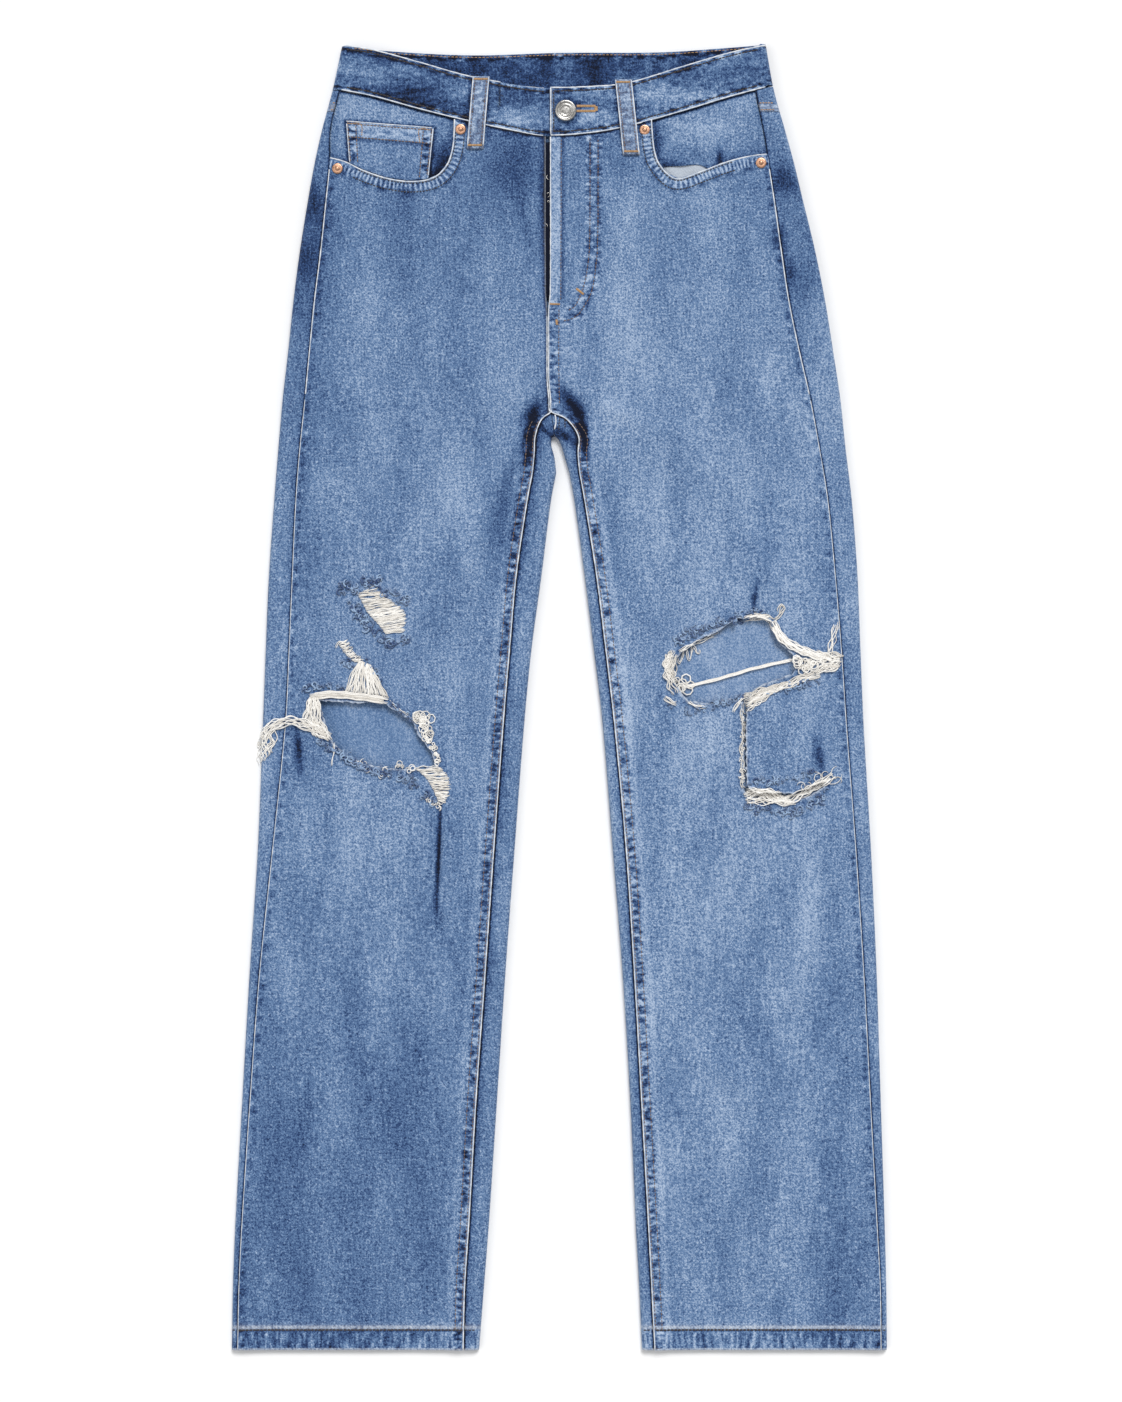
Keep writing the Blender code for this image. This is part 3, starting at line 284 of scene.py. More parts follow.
def smooth_between(points, steps):
    """Points on a smooth curve through control points, with steps to each stretch."""
    points = np.array(points, float)
    keys = np.arange(len(points))
    at = np.linspace(0, len(points) - 1, steps * (len(points) - 1) + 1)
    columns = [read({"k": keys, "v": column}, "k", "v", at) for column in points.T]
    return np.stack(columns, -1)


HEM_UPS = (0.0, 0.8, 2.0, 5.0, 8.0, 11.0, 13.4, 14.6, 15.4, 16.2, 17.2, 18.4, 20.2)
KNEE = (432.0, 600.0)
CROTCH_STEPS = 5


def leg_ups():
    """Heights of the rows of a leg, closer together at the ripped knees."""
    low = np.arange(23.0, KNEE[0], CELL)
    knee = np.arange(KNEE[0], KNEE[1], CELL / 2)
    high = np.linspace(KNEE[1], LEG_TOP, 26)
    return np.concatenate([HEM_UPS, low, knee, high])


def leg_courses(half):
    """Outer edge, outseam, inseam and inner edge of each row, up to and round the crotch."""
    ups = leg_ups()
    outer, outseam = side_points(half, ups)
    inseam = read(half["inner"], "up", "inseam", ups)
    inner = read(half["inner"], "up", "inner", ups)
    nearest = fold_radius(ups) + 1.0
    inseam = np.where(np.abs(inner - inseam) < nearest, inner + half["sign"] * nearest, inseam)
    seam = np.stack([inseam, ups], -1)
    edge = np.stack([inner, ups], -1)
    shift = half["sign"] * HALF_SEAM
    ends = [(CROTCH[1], (NOTCH[0] + shift, NOTCH[1]), (CROTCH[0] + shift, CROTCH[1]))]
    rows = [(LEG_TOP, tuple(edge[-1]), tuple(seam[-1]))] + list(half["crotch"]) + ends
    controls = [(row[0], *row[1], *row[2]) for row in rows]
    turned = smooth_between(controls, CROTCH_STEPS)[1:]
    more_outer, more_outseam = side_points(half, turned[:, 0])
    return (np.concatenate([outer, more_outer]), np.concatenate([outseam, more_outseam]),
            np.concatenate([seam, turned[:, 3:5]]), np.concatenate([edge, turned[:, 1:3]]))


# Columns from a seam toward the folded edge, closest beside the seam
EDGE_SHARES = (0.0, 0.07, 0.15, 0.25, 0.4, 0.6, 0.8)


def edge_wrap(edge, seam, arc_steps):
    """Rows of a back panel from the seam on top, round a folded edge, to the bottom."""
    reach = np.linalg.norm(seam - edge, axis=1)
    toward = (seam - edge) / reach[:, None]
    radius = fold_radius(edge[:, 1])
    low = floor_height(edge[:, 1])
    columns = []
    for share in EDGE_SHARES:
        inset = reach + (radius - reach) * share
        at = edge + toward * inset[:, None]
        z = cloth_height(at[:, 0], at[:, 1], np.maximum(inset, radius))
        columns.append(np.column_stack([at, z]))
    for i in range(arc_steps + 1):
        angle = math.pi / 2 - math.pi * i / arc_steps
        inset = radius * (1 - math.cos(angle))
        at = edge + toward * inset[:, None]
        z = low + radius * (1 + math.sin(angle))
        if i == 0:
            z = cloth_height(at[:, 0], at[:, 1], radius)
        columns.append(np.column_stack([at, z]))
    return np.stack(columns, 1)


def yoke_seam(x):
    """Height of the yoke's seam, a shallow V across the back."""
    return YOKE_CENTRE + (YOKE_SIDE - YOKE_CENTRE) * np.minimum(np.abs(x) / 184.0, 1.0)


def centre_back(up):
    """Where the centre seam of the back runs: it leaves the crotch a little to the side."""
    return NOTCH[0] * (1 - ease((up - NOTCH[1]) / 80))


def metres(points):
    """Points of the tables, in metres, with the middle of the garment at the origin."""
    points = np.array(points, float).reshape(-1, 3)
    points[:, 1] -= MIDDLE_UP
    return points / 1000


def grid_faces(rows, columns, first=0):
    """Quads of a grid, one list of four corners for each cell."""
    index = first + np.arange(rows * columns).reshape(rows, columns)
    cells = [index[:-1, :-1], index[1:, :-1], index[1:, 1:], index[:-1, 1:]]
    return np.stack(cells, -1).reshape(-1, 4)


def in_scene(name, mesh):
    """A smooth-shaded object of a mesh, in the scene."""
    mesh.shade_smooth()
    piece = bpy.data.objects.new(name, mesh)
    bpy.context.scene.collection.objects.link(piece)
    return piece


SLIVER = 1e-8


def sew_mesh(name, points, faces, joined=False):
    """A mesh whose highest face looks up, from points in the tables' sizes."""
    mesh = bpy.data.meshes.new(name)
    mesh.from_pydata(metres(points).tolist(), [], [list(map(int, face)) for face in faces])
    data = bmesh.new()
    data.from_mesh(mesh)
    if joined:
        bmesh.ops.remove_doubles(data, verts=data.verts, dist=0.00001)
    loose = [vert for vert in data.verts if not vert.link_faces]
    bmesh.ops.delete(data, geom=loose, context="VERTS")
    bmesh.ops.recalc_face_normals(data, faces=data.faces)
    whole = [face for face in data.faces if face.calc_area() > SLIVER]
    highest = max(whole, key=lambda face: face.calc_center_median().z)
    if highest.normal.z < 0:
        bmesh.ops.reverse_faces(data, faces=data.faces)
    data.to_mesh(mesh)
    data.free()
    return in_scene(name, mesh)


def give_wall(piece, wall, even=False):
    """The cloth's thickness, on its inner side, with the second material inside."""
    solid = piece.modifiers.new("wall", "SOLIDIFY")
    solid.thickness = wall / 1000
    solid.offset = -1.0
    solid.use_even_offset = even
    solid.material_offset = 1


def finish_cloth(piece, wall, node):
    """A wall for a piece of cloth, which lies still in the place of its solid."""
    give_wall(piece, wall)
    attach(piece, "root")
    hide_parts(node)


# Wash of the denim and painted shade: soft patches, lighter where wear has paled the cloth,
# darker where the wash is darker, and darker as painted shade under the waistband, beside the
# fly's gap and in creases at the hips. Each is its middle, its reach across and along, and how
# much lighter (or darker) it is.
BASE_FADE = 0.50
UNDERSIDE = 2.5
PATCHES = (
    ((120, 640), (110, 260), 0.11),
    ((150, 470), (60, 120), 0.06),
    ((70, 470), (36, 90), -0.05),
    ((150, 30), (110, 130), 0.07),
    ((60, 840), (60, 110), 0.07),
    ((110, 300), (70, 120), 0.04),
    ((-110, 640), (80, 110), 0.04),
    ((-80, 520), (60, 90), -0.02),
    ((0, 870), (210, 70), -0.05),
    ((-150, 360), (60, 110), 0.06),
    ((-140, 890), (56, 60), -0.07),
    ((-110, 760), (50, 40), -0.04),
    ((-215, 880), (26, 90), -0.30),
    ((-196, 905), (16, 40), -0.30),
    ((-208, 640), (14, 200), -0.08),
    ((205, 890), (22, 60), -0.06),
    ((178, 938), (8, 12), -0.50),
    ((187, 931), (13, 8), -0.30),
    ((172, 889), (7, 9), -0.35),
    ((178, 886), (3, 20), -0.30),
    ((184, 863), (4, 9), -0.50),
    ((197, 854), (12, 12), -0.14),
    ((-196, 918), (6, 14), -0.25),
    ((-203, 872), (8, 14), -0.30),
    ((-199, 894), (7, 9), 0.20),
    ((150, 925), (26, 22), -0.10),
    # painted shade under the waistband
    ((-32, 948), (30, 26), -0.26),
    ((-60, 925), (24, 30), -0.10),
    # painted shade under the waistband
    ((48, 950), (20, 20), -0.18),
    ((-160, 210), (80, 110), -0.12),
    ((-105, 150), (36, 130), -0.12),
    ((-215, 100), (40, 110), -0.16),
    ((-170, 40), (80, 60), -0.12),
    ((215, 90), (30, 110), -0.16),
    ((150, 30), (90, 40), -0.06),
    ((-30, 640), (20, 90), -0.10),
    ((-78, 320), (26, 120), -0.08),
    ((52, 640), (14, 90), 0.04),
    # painted shade beside the fly's gap
    ((-13.5, 908), (3.0, 44), -0.45),
    ((-2, 925), (5, 60), 0.14),
    ((31, 928), (4, 44), -0.16),
    ((-100, 900), (60, 60), -0.06),
    ((-212, 860), (14, 80), 0.07),
)


def wash(x, up, z):
    """How pale the wash leaves the cloth at places, about half on average, with the folds' painted shade
    and highlight, kept off the underside.
    """
    above = z > floor_height(up) + UNDERSIDE
    fade_and_shade = np.full_like(x, BASE_FADE)
    for middle, reach, amount in PATCHES:
        gap = ((x - middle[0]) / reach[0]) ** 2 + ((up - middle[1]) / reach[1]) ** 2
        fade_and_shade = fade_and_shade + amount * np.exp(-gap)
    for fold in FOLDS:
        fade_and_shade = fade_and_shade - 0.5 * fold[5] * along_fold(fold, x, up) * above
    return fade_and_shade


def paint(piece, name, values):
    """A number for each point of a piece, for its material to read."""
    layer = piece.data.attributes.new(name, "FLOAT", "POINT")
    layer.data.foreach_set("value", np.asarray(values, np.float32))


def places(piece):
    """Where a piece's points are, back in the tables' sizes."""
    flat = np.empty(len(piece.data.vertices) * 3)
    piece.data.vertices.foreach_get("co", flat)
    points = flat.reshape(-1, 3) * 1000
    points[:, 1] += MIDDLE_UP
    return points


def add_node(tree, kind, **values):
    """A node, with its settings and the values of its sockets."""
    node = tree.nodes.new(kind)
    for key, value in values.items():
        if key in node.inputs:
            node.inputs[key].default_value = value
        else:
            setattr(node, key, value)
    return node


def new_material(name):
    """A material's node tree, its shader and the place on the piece, which the nodes read."""
    material = bpy.data.materials.new(name)
    material.use_nodes = True
    tree = material.node_tree
    where = tree.nodes.new("ShaderNodeTexCoord").outputs["Object"]
    return material, tree, tree.nodes["Principled BSDF"], where


def add_bump(tree, shader, height, strength, distance=0.0002):
    """Small relief on a material, from a number that says how high it is."""
    bump = add_node(tree, "ShaderNodeBump", Strength=strength, Distance=distance)
    tree.links.new(height, bump.inputs["Height"])
    tree.links.new(bump.outputs["Normal"], shader.inputs["Normal"])


def math_node(tree, operation, first, second):
    """The outcome of an operation on two numbers or sockets."""
    node = tree.nodes.new("ShaderNodeMath")
    node.operation = operation
    for socket, value in zip(node.inputs, (first, second)):
        if isinstance(value, (int, float)):
            socket.default_value = value
        else:
            tree.links.new(value, socket)
    return node.outputs[0]


def add_share(tree, total, part, weight):
    """A number with a weighted part added to it."""
    return math_node(tree, "ADD", total, math_node(tree, "MULTIPLY", part, weight))


def painted(tree, name):
    """The number that paint() gave to each point of a piece."""
    return add_node(tree, "ShaderNodeAttribute", attribute_name=name).outputs["Fac"]


def noise(tree, coordinates, scale, detail, stretch=(1.0, 1.0, 1.0)):
    """Noise of about 1/scale metres, stretched along an axis, as a number round zero."""
    mapping = add_node(tree, "ShaderNodeMapping", Scale=stretch)
    tree.links.new(coordinates, mapping.inputs["Vector"])
    cloud = add_node(tree, "ShaderNodeTexNoise", Scale=scale, Detail=detail)
    tree.links.new(mapping.outputs["Vector"], cloud.inputs["Vector"])
    return math_node(tree, "SUBTRACT", cloud.outputs["Fac"], 0.5)


def mix_colours(tree, amount, first, second):
    """First colour to second by an amount from 0 to 1."""
    mix = tree.nodes.new("ShaderNodeMix")
    mix.data_type = "RGBA"
    mix.clamp_factor = True
    sockets = (mix.inputs[0], mix.inputs[6], mix.inputs[7])
    for socket, value in zip(sockets, (amount, first, second)):
        if isinstance(value, (int, float)):
            socket.default_value = value
        elif isinstance(value, tuple):
            socket.default_value = (*value, 1.0)
        else:
            tree.links.new(value, socket)
    return mix.outputs[2]


# Colours of the denim from the painted shade of deep creases and gaps to cloth worn pale
DENIM_SHADES = ((0.003, 0.006, 0.020), (0.020, 0.052, 0.155), (0.116, 0.208, 0.380),
                (0.41, 0.51, 0.67))
WORN_WHITE = (0.66, 0.69, 0.73)


def dye_and_shade_ramp(tree, place):
    """The colour of denim at a place on its scale, from the painted shade of a deep crease to pale wear.
    """
    ramp = tree.nodes.new("ShaderNodeValToRGB")
    while len(ramp.color_ramp.elements) < len(DENIM_SHADES):
        ramp.color_ramp.elements.new(0.5)
    for i, (stop, shade) in enumerate(zip(ramp.color_ramp.elements, DENIM_SHADES)):
        stop.position = i / (len(DENIM_SHADES) - 1)
        stop.color = (*shade, 1.0)
    tree.links.new(place, ramp.inputs["Fac"])
    return ramp.outputs["Color"]


def denim(name, shift=0.0, contrast=1.0, soft=False, clouds=0.72, drift=(1.5, 0.55, 1.0)):
    """Washed denim: pale specks, slubs, cloudy wash, puckers across a seam and worn edges, over the wash
    and painted shade given to its points.
    """
    material, tree, shader, where = new_material(name)
    # the yarns: pale specks, thick places along and across, faded clouds, short worm-like marks
    speckle = noise(tree, where, 620.0, 2.5)
    fine = noise(tree, where, 1400.0, 2.0)
    slub = noise(tree, where, 80.0, 3.0, (8.0, 1.0, 1.0))
    weft = noise(tree, where, 90.0, 2.0, (1.0, 8.0, 1.0))
    cloud = noise(tree, where, 19.0, 3.5, drift)
    blotch = noise(tree, where, 300.0, 1.5, (0.5, 1.0, 1.0))
    bars = noise(tree, where, 300.0, 1.5, (1.0, 0.22, 1.0))
    worm = math_node(tree, "ABSOLUTE", noise(tree, where, 560.0, 1.0, (1.0, 0.8, 1.0)), 0.0)
    worm = math_node(tree, "MINIMUM", math_node(tree, "MULTIPLY", worm, 10.0), 1.0)
    worm = math_node(tree, "SUBTRACT", 0.62, worm)
    fade_and_shade = painted(tree, "fade_and_shade")
    rope = painted(tree, "rope")
    comb = painted(tree, "comb")
    parts = ((speckle, 1.35), (fine, 1.3), (slub, 0.55), (weft, 0.30), (worm, 0.22))
    total = math_node(tree, "ADD", fade_and_shade, shift)
    for part, weight in parts:
        weight = weight * contrast * (0.5 if soft else 1.0)
        total = add_share(tree, total, part, weight)
    total = add_share(tree, total, cloud, clouds)
    puckers = math_node(tree, "ADD", math_node(tree, "MULTIPLY", blotch, rope),
                        math_node(tree, "MULTIPLY", bars, comb))
    total = add_share(tree, total, puckers, 3.2)
    # the ramp runs from -0.5 to 1 on the scale of fading; its deepest part, below 0, is for painted shade
    place = math_node(tree, "DIVIDE", math_node(tree, "ADD", total, 0.5), 1.5)
    dyed_and_shaded = dye_and_shade_ramp(tree, place)
    worn = painted(tree, "worn")
    patchy = math_node(tree, "ADD", math_node(tree, "MULTIPLY", slub, 1.6), 0.8)
    patchy = add_share(tree, patchy, speckle, 1.6)
    colour = mix_colours(tree, math_node(tree, "MULTIPLY", worn, patchy), dyed_and_shaded, WORN_WHITE)
    tree.links.new(colour, shader.inputs["Base Color"])
    # relief: the diagonal ribs of the weave, its uneven yarns and the puckers
    twill = add_node(tree, "ShaderNodeTexWave", bands_direction="DIAGONAL", Scale=240.0,
                     Distortion=1.5)
    tree.links.new(where, twill.inputs["Vector"])
    height = math_node(tree, "ADD", math_node(tree, "MULTIPLY", twill.outputs["Fac"], 0.5), speckle)
    height = add_share(tree, height, slub, 1.5)
    height = add_share(tree, height, puckers, 3.0)
    add_bump(tree, shader, height, 0.35 if soft else 0.55, 0.0006)
    shader.inputs["Roughness"].default_value = 0.9
    shader.inputs["Sheen Weight"].default_value = 0.10
    shader.inputs["Sheen Roughness"].default_value = 0.5
    shader.inputs["Specular IOR Level"].default_value = 0.2
    return material


denim_face = denim("denim")
denim_inside = denim("denim_inside", 0.02, 1.2, True)
ARC_ACROSS = 10
UNDER_ACROSS = 44
BACK_BODY_UPS = np.arange(753.5, 888.0, CELL)


def under_columns(start, end):
    """Columns of the underside between two lists of points, flat on the table."""
    columns = []
    for i in range(UNDER_ACROSS + 1):
        at = start + (end - start) * i / UNDER_ACROSS
        columns.append(np.column_stack([at, floor_height(at[:, 1])]))
    return np.stack(columns, 1)


def back_panel_rows(half):
    """The two strips of a back panel: side edge and underside, then the inner edge."""
    outer, outseam, seam, edge = leg_courses(half)
    wrap = edge_wrap(outer, outseam, ARC_ACROSS)
    inner = edge_wrap(edge, seam, ARC_ACROSS)
    under = under_columns(wrap[:, -1, :2], inner[:, -1, :2])
    legs = np.concatenate([wrap[:, :-1], under], 1)
    outer, outseam = side_points(half, BACK_BODY_UPS)
    wrap = edge_wrap(outer, outseam, ARC_ACROSS)
    middle = centre_back(BACK_BODY_UPS) + half["sign"] * HALF_SEAM
    ends = np.column_stack([middle, BACK_BODY_UPS])
    body = np.concatenate([wrap[:, :-1], under_columns(wrap[:, -1, :2], ends)], 1)
    low_up = BACK_BODY_UPS[-1]
    ups = np.linspace(low_up, YOKE_SIDE - HALF_SEAM, 24)[1:]
    outer, outseam = side_points(half, ups)
    wrap = edge_wrap(outer, outseam, ARC_ACROSS)
    ends = np.column_stack([np.full_like(ups, half["sign"] * HALF_SEAM), ups])
    under = under_columns(wrap[:, -1, :2], ends)
    share = (ups - low_up) / (ups[-1] - low_up)
    top = yoke_seam(under[:, :, 0]) - HALF_SEAM
    under[:, :, 1] = low_up + (top - low_up) * share[:, None]
    under[:, :, 2] = floor_height(under[:, :, 1])
    crown = np.concatenate([wrap[:, :-1], under], 1)
    return np.concatenate([legs, body, crown]), inner[:, ::-1]


def distance_to(spots, line):
    """How far places are from a line of points."""
    gap = np.full(len(spots), 1e9)
    line = np.asarray(line, float)
    for start, end in zip(line[:-1], line[1:]):
        way = end - start
        run = np.clip((spots - start) @ way / max(float(way @ way), 1e-9), 0.0, 1.0)
        gap = np.minimum(gap, np.linalg.norm(spots - start - run[:, None] * way, axis=1))
    return gap


def run_along(spots, line):
    """How far along a line of points the nearest place to each spot is."""
    gap = np.full(len(spots), 1e9)
    found = np.zeros(len(spots))
    done = 0.0
    for start, end in zip(np.array(line[:-1], float), np.array(line[1:], float)):
        way = end - start
        size = float(np.hypot(*way))
        run = np.clip((spots - start) @ way / max(size * size, 1e-9), 0.0, 1.0)
        off = np.linalg.norm(spots - start - run[:, None] * way, axis=1)
        found = np.where(off < gap, done + run * size, found)
        gap = np.minimum(gap, off)
        done += size
    return found


def near(gap, reach):
    """One on a line, fading to nothing at about twice the reach."""
    return np.exp(-((gap / reach) ** 2))


def between_gaps(gap, low, high, blend=1.0):
    """One between two distances from a line, with soft ends."""
    return ease((gap - low) / blend + 0.5) * (1 - ease((gap - high) / blend + 0.5))


def dress(piece, fade_and_shade, worn=0.0, rope=0.0, finishes=(), comb=0.0):
    """Materials of a piece of cloth, with its wash and painted shade, worn edges and puckered seams."""
    for finish in finishes:
        piece.data.materials.append(finish)
    spots = places(piece)
    none = np.zeros(len(spots))
    paint(piece, "fade_and_shade", wash(*spots.T) + fade_and_shade + none)
    paint(piece, "worn", worn + none)
    paint(piece, "rope", rope + none)
    paint(piece, "comb", comb + none)


def back_panel(side):
    """One back panel, with painted shade in the grooves beside its seams and at the crotch, and its hem.
    """
    half = HALVES[side]
    main, inner = back_panel_rows(half)
    faces = list(grid_faces(*main.shape[:2]))
    faces += list(grid_faces(*inner.shape[:2], first=main.shape[0] * main.shape[1]))
    points = np.concatenate([main.reshape(-1, 3), inner.reshape(-1, 3)])
    piece = sew_mesh("back_cloth_" + side, points, faces, joined=True)
    spots = places(piece)
    on_top = spots[:, 2] > UPPER_SIDE
    courses = leg_courses(half)
    side_ups = np.linspace(courses[1][-1, 1], YOKE_SIDE, 20)
    out_gap = distance_to(spots[:, :2], np.concatenate([courses[1], side_points(half, side_ups)[1]]))
    in_gap = distance_to(spots[:, :2], courses[2])
    notch_gap = np.hypot(spots[:, 0] - NOTCH[0], spots[:, 1] - NOTCH[1] - 1.0)
    # painted shade: a dark line beside each seam where the front's edge overlaps, a dark patch at the
    # crotch, and a softer painted shadow spreading from the seams
    groove = 1.3 * near(in_gap, 0.9) + 0.65 * near(out_gap, 0.7) + 0.5 * near(notch_gap, 6.0)
    shadow = 0.22 * near(in_gap, 4.5) + 0.08 * near(out_gap, 3.0)
    hem = near(spots[:, 1] - 18.2, 1.6)
    worn = 0.5 * hem + 0.5 * (spots[:, 1] < 0.9)
    dress(piece, np.where(on_top, -groove - shadow, 0.0), worn, 0.0, (denim_face, denim_inside),
          0.55 * between_gaps(spots[:, 1], 1.0, 15.0))
    finish_cloth(piece, DENIM, "back_panel_" + side)
    return piece


back_cloth = {side: back_panel(side) for side in HALVES}

# Back yokes. The wedge of denim between each back panel and the waistband; its seam runs
# down in a V to the middle of the seat, and its side end shows on top beside the pocket.

# The small gap below the waistband, and where the waistband's seam meets the side
BAND_GAP = 0.35
BAND_SIDE = 176.0


def yoke(side):
    """One yoke, from the outseam on top round the side and under to the centre seam."""
    half = HALVES[side]
    low = YOKE_SIDE + HALF_SEAM
    side_top = float(read(FRONT_WAIST, "x", "seam", half["sign"] * BAND_SIDE)) - BAND_GAP
    ups = np.linspace(low, side_top, 20)
    outer, outseam = side_points(half, ups)
    wrap = edge_wrap(outer, outseam, ARC_ACROSS)
    share = ((ups - low) / (side_top - low))[:, None]
    ends = np.column_stack([np.full_like(ups, half["sign"] * HALF_SEAM), ups])
    under = under_columns(wrap[:, -1, :2], ends)
    wrap = wrap[:, :-1]
    top = np.minimum(read(FRONT_WAIST, "x", "seam", wrap[:, :, 0]) - BAND_GAP, side_top)
    wrap[:, :, 1] = low + (top - low) * share
    bottom = yoke_seam(under[:, :, 0]) + HALF_SEAM
    top = read(BACK_WAIST, "x", "seam", under[:, :, 0]) - BAND_GAP
    under[:, :, 1] = bottom + (top - bottom) * share
    under[:, :, 2] = floor_height(under[:, :, 1])
    rows = np.concatenate([wrap, under], 1)
    piece = sew_mesh("yoke_cloth_" + side, rows, grid_faces(*rows.shape[:2]))
    spots = places(piece)
    level = spots[:, 1] - YOKE_SIDE
    sewn = 0.5 * between_gaps(level, 0.0, 6.0) * (spots[:, 2] > UPPER_SIDE)
    edge = side_points(half, ups)[1]
    # painted shade: a dark line beside the outseam, where the front's edge overlaps; the yoke is also a
    # little darker overall
    groove = near(distance_to(spots[:, :2], edge), 0.8) * (spots[:, 2] > UPPER_SIDE)
    dress(piece, 0.10 * sewn - groove - 0.06, 0.5 * sewn, sewn, (denim_face, denim_inside))
    finish_cloth(piece, DENIM, "yoke_" + side)
    return piece


yoke_cloth = {side: yoke(side) for side in HALVES}

# Front panels. The piece that shows most: from the outseam to the inseam and the fly, cut
# away for the pocket opening and torn through at the knee. Its edges lie over the seam
# allowances, so they stand a little proud and their fold is worn nearly white.
FLY = dict(
    up=(760, 776, 800, 832, 846, 985),
    right=(-8.0, -9.5, -9.6, -9.8, -10.8, -11.0),
    left=(-7.4, -8.9, -9.0, -8.9, -7.7, -7.5),
)
POCKETS = {
    "right": ((-84.3, 984.0), (-84.8, 970.0), (-86.0, 960.0), (-89.5, 949.0), (-97.0, 940.0),
              (-107.0, 935.6), (-122.0, 934.6), (-139.5, 937.5), (-157.0, 943.5),
              (-172.0, 950.6), (-190.0, 955.0)),
    "left": ((73.7, 986.0), (74.6, 972.0), (76.0, 960.0), (79.0, 950.0), (86.0, 941.0),
             (95.5, 936.6), (113.0, 942.5), (133.0, 950.0), (154.0, 955.2), (175.0, 957.0)),
}
RIPS = {
    "right": ((-192, 519.5), (-166, 518), (-139.5, 517), (-131.5, 511), (-117.5, 502.5),
              (-113.5, 493), (-108, 486), (-101, 475), (-99.5, 466.5), (-111, 464.5),
              (-131.5, 465), (-153, 468), (-167, 474), (-181, 485.5), (-187, 500)),
    "left": ((91, 536), (93, 553), (102, 562), (117, 570.5), (131, 577.5), (142, 585),
             (160, 586), (168, 584), (170, 576), (177, 564), (186, 556.5), (190, 549),
             (186, 541), (172, 536), (156, 529.5), (151, 521), (148.8, 500), (149.4, 470),
             (149.4, 452), (157, 446), (172, 445.4), (188, 444.8), (199, 450), (214, 456),
             (211, 450), (199, 443), (187, 439.4), (168, 440), (150, 442.4), (147.0, 452),
             (147.2, 470), (146.4, 500), (146.0, 518), (137, 521.4), (120, 517.6), (103, 518.6),
             (97, 526)),
}
SEAM_STEPS = (0.0, 0.5, 1.1, 1.8, 3.0, 5.0, 7.5, 10.0, 12.5)
FRONT_ACROSS = 50
# How far a front panel stays inside its seams
LAP = 0.3
# Rows of the hips start at the first height and are level up to the second
FRONT_BODY_LOW = 752.5
LEVEL_TOP = 956.0


def across_from(reach):
    """Shares across each row: close together at both seams, even between them."""
    steps = np.array(SEAM_STEPS)
    near = steps[None, :] / reach[:, None]
    middle = np.linspace(0.0, 1.0, FRONT_ACROSS)[None, 1:-1]
    span = 1.0 - 2 * near[:, -1:]
    return np.concatenate([near, near[:, -1:] + span * middle, 1.0 - near[:, ::-1]], 1)


def seam_relief(distance, run):
    """Rise of a felled seam: proud over its allowance, with puckers between the stitches."""
    proud = 0.9 * (1 - ease((distance - 9.0) / 3.0))
    rolled = np.minimum(distance / 0.8, 1.0) - 1.0
    pucker = np.sin(run / 2.1 + distance * 0.55) * np.sin(run / 13.0 + 1.0)
    band = ease(distance / 2.5) * (1 - ease((distance - 8.0) / 3.0))
    return proud + 0.45 * rolled + 0.35 * pucker * band


def front_rows(half):
    """Rows of a front panel as points, with each point's distance to the two seams."""
    outer, outseam, seam, edge = leg_courses(half)
    sign = half["sign"]
    away = (seam - edge) / np.linalg.norm(seam - edge, axis=1)[:, None]
    start = outseam - np.array([sign * LAP, 0.0])
    end = seam + away * LAP
    ups = np.concatenate([np.arange(FRONT_BODY_LOW, LEVEL_TOP - 2.0, CELL), [LEVEL_TOP]])
    column = "left" if sign > 0 else "right"
    more_outer, more_outseam = side_points(half, ups)
    more_end = np.column_stack([read(FLY, "up", column, ups), ups])
    outer = np.concatenate([outer, more_outer])
    start = np.concatenate([start, more_outseam - np.array([sign * LAP, 0.0])])
    end = np.concatenate([end, more_end])
    edge = np.concatenate([edge, np.tile(NOTCH, (len(ups), 1))])
    reach = np.linalg.norm(end - start, axis=1)
    share = across_from(reach)[:, :, None]
    at = start[:, None, :] + (end - start)[:, None, :] * share
    gap = np.minimum(np.linalg.norm(at - outer[:, None, :], axis=2),
                     np.linalg.norm(at - edge[:, None, :], axis=2))
    z = cloth_height(at[:, :, 0], at[:, :, 1], gap)
    rows = np.concatenate([at, z[:, :, None]], 2)
    steps = np.linspace(0.0, 1.0, 12)[1:]
    bent = np.repeat(rows[-1:], len(steps), 0)
    top = read(FRONT_WAIST, "x", "seam", bent[:, :, 0]) - BAND_GAP
    bent[:, :, 1] = LEVEL_TOP + (top - LEVEL_TOP) * steps[:, None]
    side_outer, side_seam = side_points(half, bent[:, 0, 1])
    begin = side_seam[:, 0] - sign * LAP
    bent[:, :, 0] = begin[:, None] + (end[-1, 0] - begin[:, None]) * share[-1, :, 0]
    gap = np.abs(side_outer[:, :1] - bent[:, :, 0])
    bent[:, :, 2] = cloth_height(bent[:, :, 0], bent[:, :, 1], gap)
    rows = np.concatenate([rows, bent])
    length = np.abs(rows[:, :, 0] - rows[:, :1, 0])
    to_out = np.hypot(length, rows[:, :, 1] - rows[:, :1, 1])
    to_in = np.hypot(rows[:, :, 0] - rows[:, -1:, 0], rows[:, :, 1] - rows[:, -1:, 1])
    return rows, to_out, to_in


